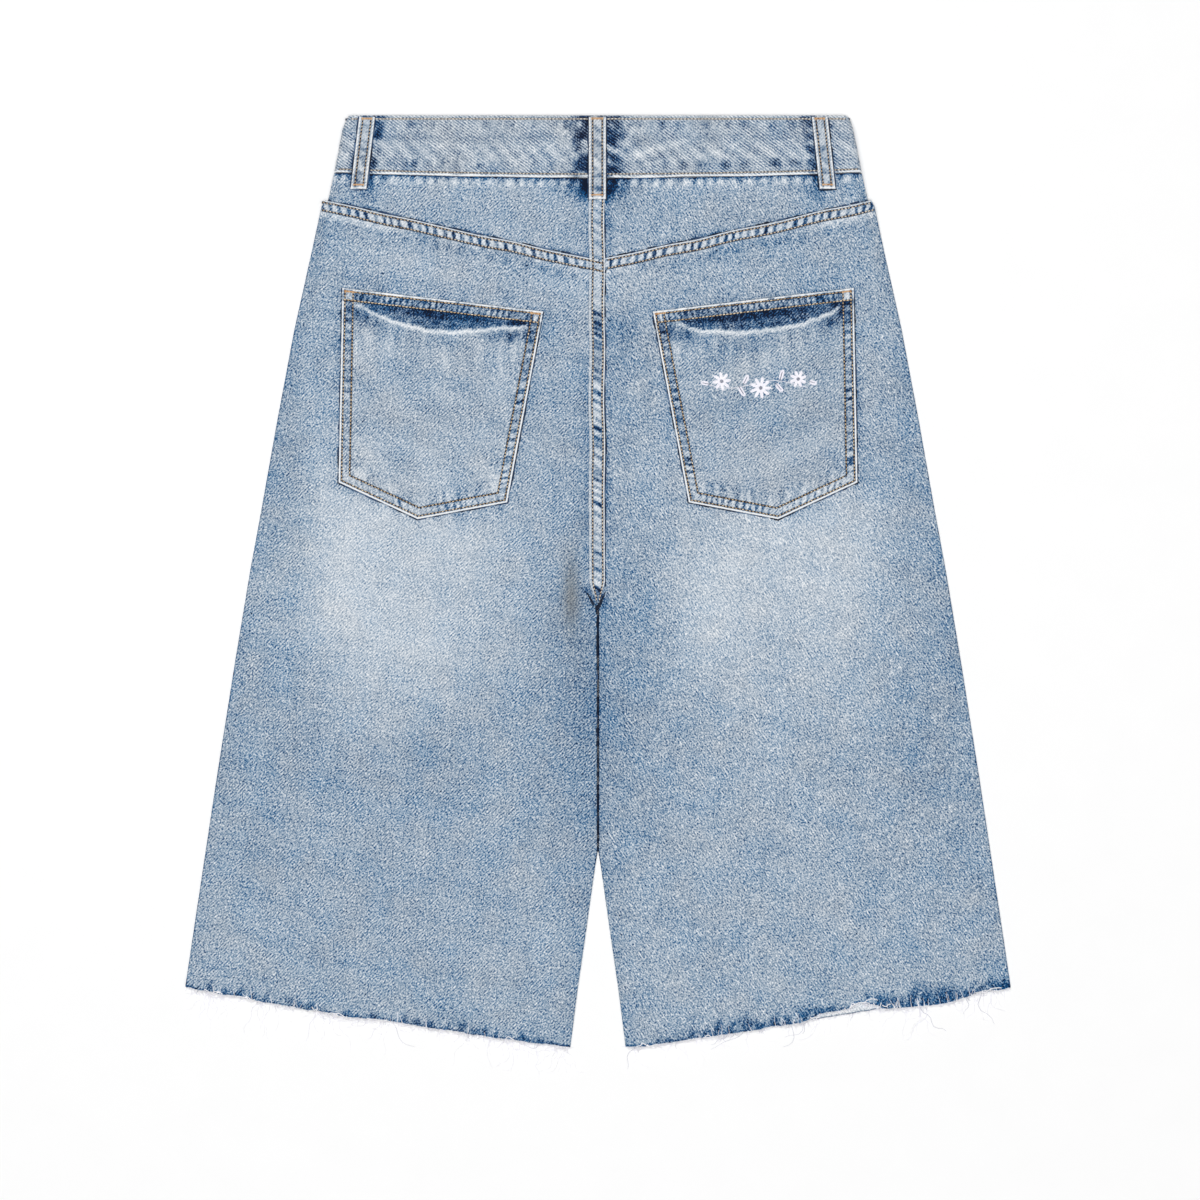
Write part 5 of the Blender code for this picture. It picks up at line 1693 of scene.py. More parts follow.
def mirror(points, side):
    return np.asarray(points) * np.array([-side, 1.0])


print("a corner moved in by 1 mm:", inset([(0.0, 9.0), (0.0, 0.0), (9.0, 0.0)], 1.0)[1].round(2))

# %% Topstitching of the back
BAND_ROW_HALF = 171.5
BAND_ROW_SCALE = 174.5
FRONT_PITCH = 3.0


def stitch_waistband():
    tree = surface_of(WAISTBAND)
    x = np.linspace(-BAND_ROW_HALF, BAND_ROW_HALF, 400)
    upper = line_over(x * side_x(TOP_Y - BAND_ROW) / BAND_ROW_SCALE, TOP_Y - BAND_ROW)
    lower = line_over(x * side_x(band_low_y(x)) / BAND_ROW_SCALE, band_low_y(x) + BAND_ROW)
    rows = stitch_row(tree, upper, 201, 0.97, gap=0.34)
    rows += stitch_row(tree, lower, 202, 0.86, gap=0.2)
    front_upper = line_over(x, TOP_Y - BAND_ROW - front_dip(x))
    front_lower = line_over(x, band_low_y(x) + BAND_ROW - front_dip(x))
    for line in (front_upper, front_lower):
        rows += stitch_row(tree, line, 203, 0.45, FRONT_PITCH, from_below=True)
    return threads("stitches_waistband", rows, SAND_THREAD)


def stitch_seams():
    rows = []
    tree = surface_of(SEAT_SEAM)
    y = np.linspace(band_low_y(0.0) - 1.0, SEAT_SEAM_END_Y + 0.6, 300)
    for index, row_x in enumerate(SEAT_ROWS):
        rows += stitch_row(tree, line_over(seat_x(row_x, y), y), 211 + index, 0.86)
    x = np.linspace(SEAT_SEAM_LEFT + 0.3, SEAT_SEAM_RIGHT - 0.8, 30)
    for from_upper in YOKE_ROWS:
        rows += stitch_row(tree, line_over(x, crossing_y(x, from_upper)), 215, 0.8)
    for side, piece in YOKE_SEAMS.items():
        tree = surface_of(piece)
        x = np.linspace(187.5, 6.4, 260)
        for index, from_upper in enumerate(YOKE_ROWS):
            y = yoke_strip_y(side, x, from_upper)
            rows += stitch_row(tree, line_over(side * x, y), 221 + index + side, 0.74 + 0.1 * index)
    return threads("stitches_seams", rows, TAN_THREAD)


def stitch_pocket(side):
    tree = surface_of(POCKETS[side])
    rows = []
    for index, distance in enumerate(POCKET_ROWS):
        line = mirror(inset(POCKET_OUTLINE, distance), side)
        line[0, 1] -= HEM_ROWS[0]
        line[-1, 1] -= HEM_ROWS[0]
        rows += stitch_row(tree, line, 231 + 7 * index + side, 0.66)
    top = [POCKET["top_outer"], POCKET["top_inner"]]
    for index, distance in enumerate(HEM_ROWS):
        line = mirror(inset(top[::-1], distance)[::-1], side)
        ends = (line[0] + (line[1] - line[0]) * 0.012, line[0] + (line[1] - line[0]) * 0.988)
        rows += stitch_row(tree, np.array(ends), 241 + 5 * index + side, 0.55 + 0.2 * index, share=0.84)
    return threads("stitches_pocket_" + word(side), rows, GOLD_THREAD)


def stitch_loops():
    rows = []
    for index, (name, top_x, bottom_x, bottom_y, width) in enumerate(BACK_LOOPS):
        tree = surface_of(LOOPS[name])
        for shift in (LOOP_ROW - 0.5 * width, 0.5 * width - LOOP_ROW):
            line = np.array([(top_x + shift, TOP_Y - 1.8), (bottom_x + shift, bottom_y + 0.8)])
            rows += stitch_row(tree, line, 251 + index, 0.62, share=0.58)
    for index, (name, top_x, bottom_x, width) in enumerate(FRONT_LOOPS):
        tree = surface_of(LOOPS[name])
        top_y = TOP_Y - front_dip(top_x)
        for shift in (LOOP_ROW - 0.5 * width, 0.5 * width - LOOP_ROW):
            line = np.array([(top_x + shift, top_y - 1.2), (bottom_x + shift, top_y - LOOP_LENGTH)])
            rows += stitch_row(tree, line, 261 + index, 0.45, from_below=True)
    return threads("stitches_loops", rows, TAN_THREAD)


STITCHES = [stitch_waistband(), stitch_seams(), stitch_pocket(-1), stitch_pocket(1), stitch_loops()]
print("stitching:", {piece.name: len(piece.data.polygons) for piece in STITCHES})

# %% [markdown]
# Beside the fold of a pocket, a loop or a felled seam, short threads of dark navy draw a thin outline. They
# stand partly for the unrubbed turned-in allowance that peeks out and partly for painted contact shadow at
# the step.

# %% Dark edge lines: allowance and painted shadow
EDGE_PITCH = 3.0
# Along the crotch's tucks and the gap between the legs the dark threads are partly navy and mostly painted
# shadow.
CROTCH_SHADOW_LINES = (
    # from, to, strength
    ((-7.2, 2.6), (-0.9, -8.9), 1.5),
    ((5.0, 3.2), (-0.5, -8.9), 1.4),
    ((-0.9, -5.6), (-0.7, -13.0), 2.8),
    ((-0.6, -11.0), (-0.3, -174.0), 1.2),
    ((-0.2, -12.5), (0.1, -170.0), 1.2),
)


def dark_edge(tree, line, seed, strength=1.0, tone=0.35):
    """Short lengths of dark navy along a line, allowance and painted shadow, thicker and darker in some
    places than in others.
    """
    chance = np.random.default_rng(seed)
    spots, ahead, heights = landed(tree, *walk(line, EDGE_PITCH))
    paths = short_lengths(spots, ahead, heights - 0.05, 0.53 * EDGE_PITCH)
    run = np.arange(len(spots)) * EDGE_PITCH
    shade = tone + 0.35 * wander(run, 0.0, 9.0, seed) + chance.normal(0.0, 0.12, len(spots))
    radii = strength * (0.46 + 0.3 * wander(run, 0.0, 4.0, seed + 1))
    return paths, np.clip(shade, 0.0, 1.0), np.clip(radii, 0.12, 1.1)[:, None]


def allowance_and_shadow_edges():
    found = []
    for side in (-1, 1):
        tree = surface_of(BACKS[side])
        outline = mirror(inset(POCKET_OUTLINE, -0.4), side)
        found.append(dark_edge(tree, outline, 501 + side, 0.85))
        tree = surface_of(YOKES[side])
        x = np.linspace(186.0, 7.0, 200)
        y = yoke_seam_y(x) + 0.5 * YOKE_SEAM_WIDTH + 0.35
        found.append(dark_edge(tree, line_over(side * x, y), 505 + side))
    cloth = surface_of(*BACKS.values(), *YOKES.values(), WAISTBAND)
    y = np.linspace(262.0, 8.0, 100)
    found.append(dark_edge(cloth, line_over(SEAT_SEAM_RIGHT + 0.4 + seat_wander(y), y), 509))
    for index, (start, end, strength) in enumerate(CROTCH_SHADOW_LINES):
        found.append(dark_edge(surface_of(*BACKS.values()), [start, end], 541 + index, strength, -0.1))
    for index, (_name, top_x, bottom_x, bottom_y, width) in enumerate(BACK_LOOPS):
        half = 0.5 * width + 0.35
        for shift in (-half, half):
            line = np.array([(top_x + shift, TOP_Y - 1.0), (bottom_x + shift, bottom_y)])
            found.append(dark_edge(cloth, line, 511 + 2 * index + int(shift > 0.0), 1.15))
        line = np.array([(bottom_x - half, bottom_y - 0.4), (bottom_x + half, bottom_y - 0.4)])
        found.append(dark_edge(cloth, line, 521 + index))
    return threads("allowance_and_shadow_edges", found, NAVY_SHADOW_THREAD)


ALLOWANCE_AND_SHADOW_EDGES = allowance_and_shadow_edges()
print("turned edges:", len(ALLOWANCE_AND_SHADOW_EDGES.data.polygons), "faces")

# %% [markdown]
# Where a seam has to hold, at the ends of a loop and the corners of a pocket, the maker sews a bar tack: a
# dense zigzag in a stronger, orange thread.

# %% Bar tacks
TACK_STEP = 0.42
TACK_RADIUS = 0.24
TACK_LIFT = np.array((-0.15, 0.2, 0.34, 0.34, 0.2, -0.15))


def bar_tack(tree, centre, angle, length, width, seed, from_below=False):
    """The paths of one bar tack: threads laid across its width, packed along its length."""
    chance = np.random.default_rng(seed)
    run = np.arange(-0.5 * length, 0.5 * length, TACK_STEP)
    lengthwise, crosswise = pointing(angle)
    base = land(tree, [centre], from_below)[0]
    across = np.linspace(-0.5, 0.5, len(TACK_LIFT))
    lift = TACK_LIFT * (-0.6 if from_below else 1.0)
    paths = np.empty((len(run), len(TACK_LIFT), 3))
    for index, place in enumerate(run):
        slant = across[:, None] * lengthwise * TACK_STEP * (1.0 if index % 2 else -1.0)
        reach = width * chance.uniform(0.86, 1.08)
        spread = across[:, None] * crosswise * reach
        paths[index, :, :2] = np.asarray(centre) + place * lengthwise + slant + spread
        paths[index, :, 2] = np.maximum(base + lift, 1.1 * TACK_RADIUS)
    return paths, np.clip(chance.normal(0.5, 0.16, len(run)), 0.0, 1.0), TACK_RADIUS


def all_bar_tacks():
    rows = []
    for index, (name, top_x, bottom_x, bottom_y, width) in enumerate(BACK_LOOPS):
        tree = surface_of(LOOPS[name])
        low_end = (bottom_x + 0.1, bottom_y + LOOP_FOLD + 1.1)
        rows.append(bar_tack(tree, (top_x, TOP_Y - 2.3), 0.0, width - 3.4, 1.3, 271 + index))
        rows.append(bar_tack(tree, low_end, 0.0, width - 3.4, 1.3, 275 + index))
    for index, (name, top_x, bottom_x, width) in enumerate(FRONT_LOOPS):
        tree = surface_of(LOOPS[name])
        top_y = TOP_Y - front_dip(top_x)
        rows.append(bar_tack(tree, (top_x, top_y - 2.6), 0.0, width - 3.0, 1.7, 281 + index, True))
        low_y = band_low_y(bottom_x) - front_dip(bottom_x) - LOOP_OVERHANG
        rows.append(bar_tack(tree, (bottom_x, low_y + 3.0), 0.0, width - 3.0, 1.7, 285 + index, True))
    for side in (-1, 1):
        tree = surface_of(POCKETS[side])
        outer, inner = np.array(POCKET["top_outer"]), np.array(POCKET["top_inner"])
        ahead = (inner - outer) / np.linalg.norm(inner - outer)
        down = np.array([ahead[1], -ahead[0]])
        angle = math.degrees(math.atan2(ahead[1], ahead[0]))
        for corner, away in ((outer, 5.6), (inner, -5.2)):
            place = mirror(corner + ahead * away + down * HEM_ROWS[0], side)
            rows.append(bar_tack(tree, place, -side * angle, 7.4, 1.5, 291 + side + int(away)))
    return threads("bar_tacks", rows, ORANGE_THREAD)


TACKS = all_bar_tacks()
print("bar tacks:", len(TACKS.data.polygons), "faces")

# %% [markdown]
# ## The front's own details
#
# The hidden front is finished plainly. It has the curved double row that closes the fly, a shank button in
# the lap of the waistband and a metal zip between the laps. They are small, but from below they are what
# makes this the front.

# %% Stitching of the fly
FLY_ROWS = (38.0, 44.5)
FLY_STITCH_LOW_Y = 158.0


def stitch_front():
    tree = surface_of(FRONTS[-1])
    rows = []
    for index, reach in enumerate(FLY_ROWS):
        turn = np.linspace(0.0, 0.5 * math.pi, 20)
        radius = reach - 4.0
        start_y = float(band_low_y(reach) - front_dip(reach)) - 1.0
        corner_y = FLY_STITCH_LOW_Y + 6.5 * (1 - index) + radius * 0.9
        curve = line_over(-4.0 - radius * np.cos(turn), corner_y - radius * 0.9 * np.sin(turn))
        line = np.concatenate([[(-reach, start_y)], curve])
        rows += stitch_row(tree, line, 301 + index, 0.5, FRONT_PITCH, from_below=True)
    return threads("stitches_fly", rows, TAN_THREAD)


STITCHES.append(stitch_front())
print("fly rows at", FLY_ROWS, "mm from the centre")

# %% Metal
def metal(name, colour, rough):
    """Aged metal: brighter where it is rubbed, browner in the pits."""
    made, tree, shader = new_material(name)
    place = object_place(tree)
    stain = add_node(tree, "ShaderNodeTexNoise", {"Vector": place, "Scale": 420.0, "Detail": 3.0}).outputs[0]
    stops = ((0.35, srgb(*[0.6 * part for part in colour])), (0.65, srgb(*colour)))
    shown = colour_ramp(tree, stain, stops)
    dull = sum_up(tree, "MULTIPLY_ADD", stain, -0.3, rough + 0.15, clamp=True)
    fill(tree, shader, {"Base Color": shown, "Roughness": dull, "Metallic": 1.0})
    return made


BRASS = metal("aged_brass", (178, 142, 96), 0.38)
print("metal:", BRASS.name)


# %% The button
def waist_button():
    """A turned shank button: a rolled rim, a dished face and a raised middle, with the shank behind."""
    half = 0.5 * BUTTON_CAP
    profile = (
        # radius, height above the floor
        (0.01, 0.12), (2.2, 0.14), (2.7, 0.3), (3.1, 0.62), (3.5, 0.68), (half - 2.3, 0.66),
        (half - 1.9, 0.4), (half - 1.5, 0.1), (half - 0.9, 0.0), (half - 0.3, 0.18), (half, 0.6),
        (half - 0.1, 1.0), (half - 0.7, 1.25), (0.5 * BUTTON_SHANK + 0.8, 1.4), (0.5 * BUTTON_SHANK, 1.7),
        (0.5 * BUTTON_SHANK, UNDERLAP_Z - GAP),
        (0.01, UNDERLAP_Z - GAP),
    )
    sides = 64
    turn = 2.0 * np.pi * np.arange(sides) / sides
    points = [(radius * math.cos(angle), BUTTON_Y + radius * math.sin(angle), z)
              for radius, z in profile for angle in turn]
    index = np.arange(len(points)).reshape(len(profile), sides)
    here, above = index[:-1], index[1:]
    walls = np.stack([above, np.roll(above, -1, axis=1), np.roll(here, -1, axis=1), here], axis=-1)
    faces = walls.reshape(-1, 4).tolist() + [index[0].tolist()[::-1], index[-1].tolist()]
    return new_object("button_shank", np.array(points), faces, [BRASS], crisp=60.0)


BUTTON = waist_button()
print("button:", BUTTON_CAP, "mm wide")

# %% The zip
ZIP_LENGTH = 100.0
ZIP_WIDTH = 5.0
ZIP_SLIDER_LENGTH = 9.0
TOOTH_PITCH = 2.0


def box_points(centre, size, ahead=1.0):
    corners = np.array([(a, b, c) for a in (-0.5, 0.5) for b in (-0.5, 0.5) for c in (-0.5, 0.5)])
    corners[:, 0] *= np.where(corners[:, 1] > 0, ahead, 1.0)
    return np.asarray(centre) + corners * np.asarray(size)


BOX_FACES = np.array([(0, 1, 3, 2), (4, 6, 7, 5), (0, 4, 5, 1), (2, 3, 7, 6), (0, 2, 6, 4), (1, 5, 7, 3)])


def zip_chain():
    """Two rows of interlocking teeth and a slider, hidden between the laps of the fly."""
    top = float(band_low_y(0.0) - front_dip(0.0)) - 4.0
    middle = -FLY_LAP - LAYER_GAP - 0.5 * ZIP_WIDTH - 0.6
    boxes = []
    for index in range(int((ZIP_LENGTH - ZIP_SLIDER_LENGTH) / TOOTH_PITCH)):
        for side in (-1.0, 1.0):
            y = top - ZIP_SLIDER_LENGTH - (index + 0.25 * (1.0 + side)) * TOOTH_PITCH
            z = float(front_rise(middle, y)) + WALL + LAYER_GAP + 0.5
            boxes.append(box_points((middle + side * 0.9, y, z), (2.6, 0.8, 0.9), 0.7))
    z = float(front_rise(middle, top)) + WALL + LAYER_GAP + 0.5
    slider_y = top - 0.5 * ZIP_SLIDER_LENGTH
    for lift, width in ((0.0, 4.6), (1.3, 4.2)):
        boxes.append(box_points((middle, slider_y, z + lift - 0.2), (width, ZIP_SLIDER_LENGTH, 0.6)))
    boxes.append(box_points((middle, slider_y, z + 0.45), (1.6, 3.0, 0.9)))
    faces = np.concatenate([BOX_FACES + 8 * index for index in range(len(boxes))])
    piece = new_object("zip_chain", np.concatenate(boxes), faces.tolist(), [BRASS], crisp=30.0)
    soften = piece.modifiers.new("worn corners", "BEVEL")
    soften.width, soften.segments = 0.15 * MM, 2
    return piece


ZIP = zip_chain()
print("zip:", ZIP_LENGTH, "mm of chain")

# %% [markdown]
# ## The raw hem's threads
#
# A cut edge sheds its yarns. The blue warp breaks off short and the white weft works loose and curls, so the
# fringe is nearly white. Most threads are short, and a few are as long as a finger's width. They lean in
# clumps, which comes from one slow random value along the hem that all threads near each other share. A
# table adds the single threads that have sprung out of the cut, and some short ends lie up on the cloth.

# %% Fringe
HEM_INNER_X = float(along(INSEAM, HEM_INNER_Y))
HEM_OUTER_X = float(along(LEG_SIDE, HEM_SIDE_Y))
FRINGE_STATIONS = 10
HIDDEN_STATIONS = 7
LOWEST_TIP_Y = -TOP_Y + 0.4
LOOSE_ENDS = (
    # x, reach, bow, above: single white weft threads that have sprung out of the cut
    (-262.0, 11.0, 1.6, 1.3), (-258.0, 6.0, -1.2, 0.4), (-240.0, 9.0, -1.5, 0.2), (-236.5, 5.0, 2.4, 1.8),
    (-192.5, 3.6, 2.2, 3.0), (-178.0, 12.0, -1.8, 0.0), (-174.0, 7.0, 2.4, 0.6), (-150.0, 14.0, 1.0, 0.5),
    (-96.0, 8.0, 1.8, 0.8), (-60.0, 6.0, -1.4, 0.5),
    (30.0, 8.0, -1.6, 0.6), (37.0, 6.0, 2.6, 1.2), (62.0, 7.0, 1.8, 0.8), (74.0, 5.0, -1.2, 0.4),
    (148.0, 7.0, 2.2, 2.8), (152.0, 10.0, 1.2, 2.2), (157.0, 5.0, 3.4, 3.4), (163.0, 12.0, 0.8, 3.6),
    (170.0, 4.0, 4.6, 5.4), (174.0, 6.0, -2.0, 5.0), (178.0, 13.0, -1.2, 6.0), (186.0, 9.0, -1.6, 6.6),
    (190.0, 5.0, 3.8, 5.2), (196.0, 6.0, 1.2, 3.4), (262.0, 11.0, 0.8, 1.6), (270.0, 8.0, -0.8, 1.8),
)


LIFTED_ZONES = {
    # from, to, how many
    -1: ((-262.0, -190.0, 14), (-150.0, -50.0, 10)),
    1: ((196.0, 256.0, 26), (64.0, 140.0, 16)),
}


def loose_ends(side):
    """The loose threads of one leg, as a run of threads."""
    share = np.linspace(0.0, 1.0, FRINGE_STATIONS)
    paths = []
    for index, (x, reach, bow, above) in enumerate(LOOSE_ENDS):
        if x * side > 0.0:
            wiggle = 0.5 * wander(12.0 * share, 0.0, 3.0, 421 + index)
            along_x = x + (share - 0.5) * reach + wiggle
            y = hem_y(along_x) - hem_bow(along_x) + above - bow * np.sin(np.pi * share) - wiggle
            over = smooth(1.0 - (hem_y(along_x) + hem_retreat(along_x) - y) / 3.0)
            z = mix(0.5, 2.0 * WALL + LAYER_GAP + 0.35, over)
            paths.append(np.stack([np.clip(along_x, -HEM_OUTER_X, HEM_OUTER_X), y, z], axis=1))
    return np.array(paths), np.full(len(paths), 0.95), 0.3


def lifted_ends(side):
    """Short white ends that lie upward on the cloth beside the raw edge, as a run of threads."""
    chance = np.random.default_rng(441 + side)
    share = np.linspace(0.0, 1.0, FRINGE_STATIONS)[None, :]
    x = np.concatenate([chance.uniform(*zone) for zone in LIFTED_ZONES[side]])[:, None]
    length = chance.uniform(2.5, 8.5, x.shape)
    slant = chance.normal(-0.15, 0.22, x.shape)
    bend = chance.normal(0.0, 0.6, x.shape)
    along_x = x + slant * length * share + bend * np.sin(np.pi * share)
    y = hem_y(along_x) + hem_retreat(along_x) - 0.6 + length * share
    z = np.full_like(y, 2.0 * WALL + LAYER_GAP + 0.28)
    radii = chance.uniform(0.12, 0.22, x.shape) * (1.0 - 0.4 * share)
    return np.stack([along_x, y, z], axis=2), np.full(len(x), 0.9), radii


def fringe(side, layer, count, seed):
    chance = np.random.default_rng(seed)
    place = HEM_INNER_X + 0.6 + (HEM_OUTER_X - HEM_INNER_X - 1.2) * np.sort(chance.random(count))
    x = side * place
    thick = 0.55 + 0.45 * wander(x, 0.0, 9.0, seed)
    length = 1.2 + chance.gamma(1.7, 2.3, count) * np.clip(thick, 0.2, 1.2)
    long_one = chance.random(count) < 0.16 * np.clip(0.3 + 1.6 * wander(x, 0.0, 12.0, seed + 1), 0.0, 1.6)
    length = np.where(long_one, chance.uniform(9.0, 30.0, count), length)
    cut_away = hem_retreat(x) if layer == "back" else FRONT_HEM_SHORT - hem_bow(x)
    root_y = hem_y(x) + cut_away + chance.uniform(0.1, 1.2, count)
    root_z = WALL + LAYER_GAP + 0.45 if layer == "back" else 0.6
    # Each thread starts downward, leans with its neighbours, and curls and waves on its way.
    heading = -0.5 * np.pi + 0.55 * wander(x, 0.0, 7.0, seed + 2) + chance.normal(0.0, 0.32, count)
    curl = chance.normal(0.0, 1.1, count) + 0.7 * wander(x, 0.0, 5.0, seed + 3)
    wave = chance.uniform(0.5, 2.4, count)
    phase = chance.uniform(0.0, 2.0 * np.pi, count)
    stations = FRINGE_STATIONS if layer == "back" else HIDDEN_STATIONS
    share = np.linspace(0.0, 1.0, stations)[None, :]
    swing = 0.55 * np.sin(wave[:, None] * 2.0 * np.pi * share + phase[:, None])
    turn = heading[:, None] + curl[:, None] * share + swing
    step = length[:, None] / (stations - 1)
    paths = np.empty((count, stations, 3))
    gone_x = np.cumsum(np.cos(turn) * step, axis=1) - np.cos(turn[:, :1]) * step
    gone_y = np.cumsum(np.sin(turn) * step, axis=1) - np.sin(turn[:, :1]) * step
    paths[:, :, 0] = np.clip(x[:, None] + gone_x, -HEM_OUTER_X, HEM_OUTER_X)
    paths[:, :, 1] = np.maximum(root_y[:, None] + gone_y, LOWEST_TIP_Y)
    # A thread leaves the edge at the cloth's height and settles on the floor within a few millimetres.
    settle = 0.22 + 0.5 * chance.random(count)
    fall = smooth(share * np.maximum(length, 2.0)[:, None] / 6.0)
    paths[:, :, 2] = mix(root_z, settle[:, None], fall)
    radii = np.array(chance.uniform(0.10, 0.17, count))[:, None] * (1.0 - 0.55 * share)
    shades = np.where(chance.random(count) < 0.05, 0.1, np.clip(chance.normal(0.8, 0.16, count), 0.3, 1.0))
    runs = [(paths, shades, radii)]
    if layer == "back":
        runs += [loose_ends(side), lifted_ends(side)]
    return threads(f"fringe_{layer}_{word(side)}", runs, FRINGE_THREAD, sides=4)


FRINGES = {}
for which in (-1, 1):
    for layer_name, thread_count, first_seed in (("back", 900, 401), ("front", 430, 411)):
        made = fringe(which, layer_name, thread_count, first_seed + which)
        FRINGES[f"hem_fringe_{layer_name}_{word(which)}"] = made
print("fringe:", {name: len(piece.data.polygons) for name, piece in FRINGES.items()})

# %% [markdown]
# ## A sprig on the right pocket
#
# Small embroidery in white and grey thread sits on one pocket: three daisies and a few leaves on one wavy
# stem. Satin stitch fills each petal with threads laid side by side, each a little longer or shorter than
# the next, which is what rounds the petal's tip.

# %% Sprig
SPRIG_X, SPRIG_Y = 109.0, 145.0
DAISIES = (
    # x, y, petals, petal_length, turn_deg
    (-25.0, 1.5, 8, 6.4, 8.0),
    (1.5, -3.0, 9, 7.6, 0.0),
    (27.0, 3.0, 8, 6.0, 20.0),
)
LEAVES = (
    # x, y, angle_deg, length
    (-13.6, -1.6, -58.0, 8.6),
    (-10.6, -1.0, 62.0, 8.0),
    (11.4, 0.6, -50.0, 8.4),
    (14.4, 1.8, 74.0, 8.2),
    (-33.0, -0.6, 168.0, 6.4),
    (34.0, 1.6, -16.0, 6.0),
)
SATIN_PITCH = 0.42
SATIN_RADIUS = 0.25
SATIN_PROFILE = np.array((
    # place along the thread, lift
    (0.0, -0.2), (0.12, 0.16), (0.5, 0.3), (0.88, 0.16), (1.0, -0.2),
))
PETAL_WIDTH = 1.9
LEAF_WIDTH = 2.8
DISC_RADIUS = 1.15


def stem_y(x):
    return 2.6 * math.sin(x / 9.5 + 0.5) - 0.6


def satin(start, angle, length, width, chance):
    """Threads side by side that fill a petal or a leaf, pointed at both ends."""
    ahead, aside = pointing(angle)
    found = []
    for offset in np.arange(-0.5 * width, 0.5 * width + 0.01, SATIN_PITCH):
        full = 1.0 - (2.0 * offset / (width + 0.5)) ** 2
        middle = np.asarray(start) + aside * offset
        first = middle + ahead * length * (0.12 + 0.18 * (1.0 - full))
        last = middle + ahead * length * (1.0 - 0.22 * (1.0 - full)) * chance.uniform(0.95, 1.03)
        found.append((first, last))
    return found


def sprig():
    chance = np.random.default_rng(431)
    tree = surface_of(POCKETS[1])
    pieces = []
    for x, y, petals, length, turn in DAISIES:
        for index in range(petals):
            angle = turn + 360.0 * index / petals
            pieces += [(*ends, 0.88) for ends in satin((x, y), angle, length, PETAL_WIDTH, chance)]
        for index in range(5):
            reach = pointing(36.0 * index)[0] * DISC_RADIUS
            pieces.append((np.array((x, y)) - reach, np.array((x, y)) + reach, 0.12))
    for x, y, angle, length in LEAVES:
        pieces += [(*ends, 0.8) for ends in satin((x, y), angle, length, LEAF_WIDTH, chance)]
        reach = pointing(angle)[0] * length
        pieces.append((np.array((x, y)), np.array((x, y)) + 0.8 * reach, 0.1))
    stem = np.arange(-33.0, 34.0, 1.7)
    for left, right in zip(stem, stem[1:]):
        if min(math.hypot(left - row[0], stem_y(left) - row[1]) for row in DAISIES) > 4.2:
            pieces.append((np.array((left, stem_y(left))), np.array((right - 0.15, stem_y(right))), 0.85))
    share, lift = SATIN_PROFILE.T
    first = np.array([piece[0] for piece in pieces]) + (SPRIG_X, SPRIG_Y)
    last = np.array([piece[1] for piece in pieces]) + (SPRIG_X, SPRIG_Y)
    paths = np.empty((len(pieces), len(share), 3))
    paths[:, :, :2] = first[:, None, :] + (last - first)[:, None, :] * share[None, :, None]
    base = land(tree, 0.5 * (first + last))
    shade = np.array([piece[2] for piece in pieces])
    raised = np.where(shade < 0.15, 0.35, 0.0)
    paths[:, :, 2] = (base + raised)[:, None] + lift
    shade = np.clip(shade + chance.normal(0.0, 0.06, len(pieces)), 0.0, 1.0)
    return threads("sprig_embroidery", [(paths, shade, SATIN_RADIUS)], WHITE_THREAD)


SPRIG = sprig()
print("sprig:", len(SPRIG.data.polygons), "faces")

# %% [markdown]
# ## What each piece stands for
#
# Every dressed piece rides on the garment's one body and hides the plain solids it replaces. For some cloth
# pieces, the area of one face is printed.

# %% Bodies and replaced solids
def dress(piece, slot, *nodes):
    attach(piece, BODY)
    if nodes:
        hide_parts(*nodes)


for which in (-1, 1):
    dress(BACKS[which], "denim_panel", "back_panel_" + word(which))
    dress(YOKES[which], "denim_panel", "back_yoke_" + word(which))
    dress(FRONTS[which], "denim_panel", "front_panel_" + word(which))
    dress(YOKE_SEAMS[which], "denim_trim", "yoke_seam_" + word(which))
    dress(POCKETS[which], "denim_panel", "back_pocket_" + word(which))
dress(WAISTBAND, "denim_trim", "waistband")
dress(SEAT_SEAM, "denim_trim", "seat_seam")
for node_name, piece in LOOPS.items():
    dress(piece, "denim_trim", node_name)
for node_name, piece in FRINGES.items():
    dress(piece, "loose_thread", node_name)
dress(BUTTON, "aged_metal", "waist_button")
dress(ZIP, "aged_metal", "fly_zip")
for piece in (*STITCHES, ALLOWANCE_AND_SHADOW_EDGES, TACKS, SPRIG):
    dress(piece, "loose_thread")


# %% Flat sizes of the cloth
def flat_area(piece):
    """Half the surface of a shell in square metres, which is one face of the cloth."""
    return 0.5 * sum(face.area for face in piece.data.polygons)


for piece in (BACKS[1], FRONTS[1], YOKES[1], POCKETS[1], WAISTBAND, SEAT_SEAM, *LOOPS.values()):
    print(piece.name, "one face covers", round(flat_area(piece) * 1e6), "square millimetres")

# %% [markdown]
# ## Floor, light and camera
#
# Product pictures of clothes are shot straight down on white. A pale floor, a wide ceiling lamp and a faint
# even sky give clean colours. One large soft lamp a little to one side, with a weaker one across from it,
# adds just enough shade beside the seams to show which cloth lies on top. The camera is high up with a long
# lens, so that the garment's outline isn't distorted.

# %% Floor
FLOOR_HALF = 6000.0


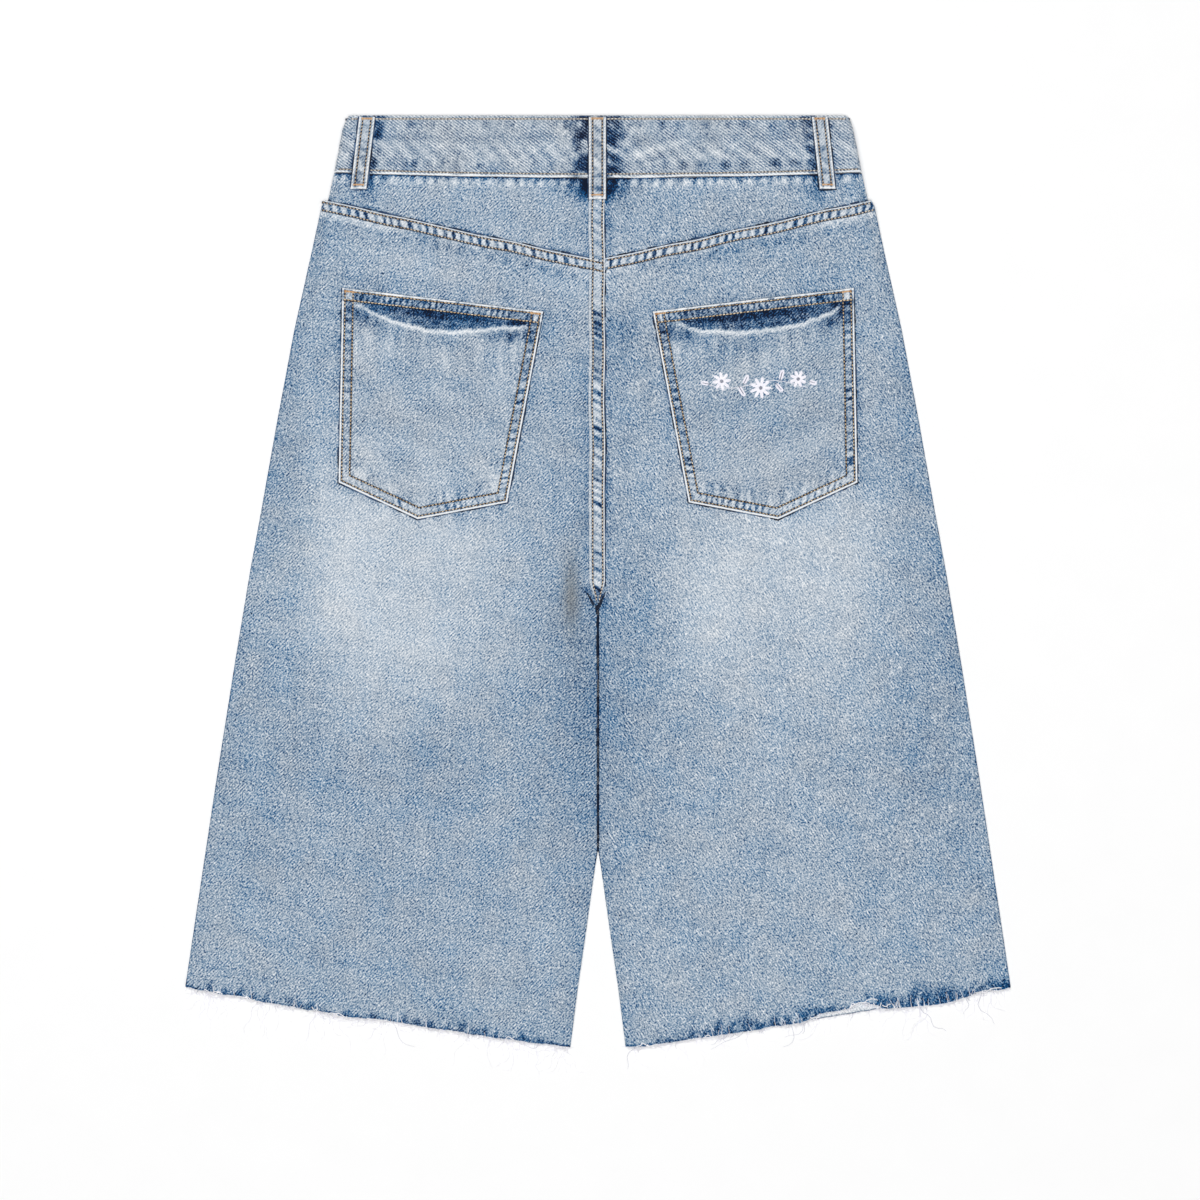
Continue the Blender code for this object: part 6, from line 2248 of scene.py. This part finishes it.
def floor():
    made, tree, shader = new_material("floor_white")
    settings = {"Vector": object_place(tree), "Scale": 30.0, "Detail": 2.0}
    mottle = add_node(tree, "ShaderNodeTexNoise", settings).outputs[0]
    shown = colour_ramp(tree, mottle, ((0.0, (0.92, 0.92, 0.92, 1.0)), (1.0, (0.94, 0.94, 0.94, 1.0))))
    fill(tree, shader, {"Base Color": shown, "Roughness": 0.9, "Specular IOR Level": 0.1})
    corners = FLOOR_HALF * np.array([(-1.0, -1.0, 0.0), (1.0, -1.0, 0.0), (1.0, 1.0, 0.0), (-1.0, 1.0, 0.0)])
    return new_object("floor", corners, [[0, 1, 2, 3]], [made])


FLOOR = floor()
print("floor:", FLOOR.name)


# %% Lights
LAMPS = (
    # name, place, diameter, watts
    ("large_soft_lamp", (-1.0, 1.1, 2.7), 1.2, 26.0),
    ("fill_lamp", (1.6, -1.2, 2.6), 2.0, 9.0),
    ("ceiling_lamp", (0.2, -0.3, 6.5), 3.0, 280.0),
)
SKY_STRENGTH = 0.16


def area_light(name, place, size, power):
    """A round soft lamp that points at the middle of the garment."""
    lamp = bpy.data.lights.new(name, "AREA")
    lamp.shape, lamp.size, lamp.energy = "DISK", size, power
    thing = bpy.data.objects.new(name, lamp)
    bpy.context.scene.collection.objects.link(thing)
    thing.location = place
    thing.rotation_euler = (-Vector(place)).to_track_quat("-Z", "Y").to_euler()


for row in LAMPS:
    area_light(*row)
world = bpy.data.worlds.new("soft_sky")
world.use_nodes = True
sky = world.node_tree.nodes["Background"].inputs
sky["Color"].default_value = (1.0, 1.0, 1.0, 1.0)
sky["Strength"].default_value = SKY_STRENGTH
bpy.context.scene.world = world
bpy.context.scene.view_settings.view_transform = "Standard"

# %% Camera
CAMERA_HEIGHT = 5.0
VIEW_WIDTH = 0.816
SENSOR = 36.0
VIEW_CENTRE = (1.36 * MM, -2.04 * MM)


def camera():
    data = bpy.data.cameras.new("camera_above")
    data.sensor_width = SENSOR
    data.lens = SENSOR * CAMERA_HEIGHT / VIEW_WIDTH
    data.clip_end = 50.0
    thing = bpy.data.objects.new("camera_above", data)
    bpy.context.scene.collection.objects.link(thing)
    thing.location = (*VIEW_CENTRE, CAMERA_HEIGHT)
    return thing


bpy.context.scene.camera = camera()
print("lens:", round(bpy.context.scene.camera.data.lens, 1), "mm")
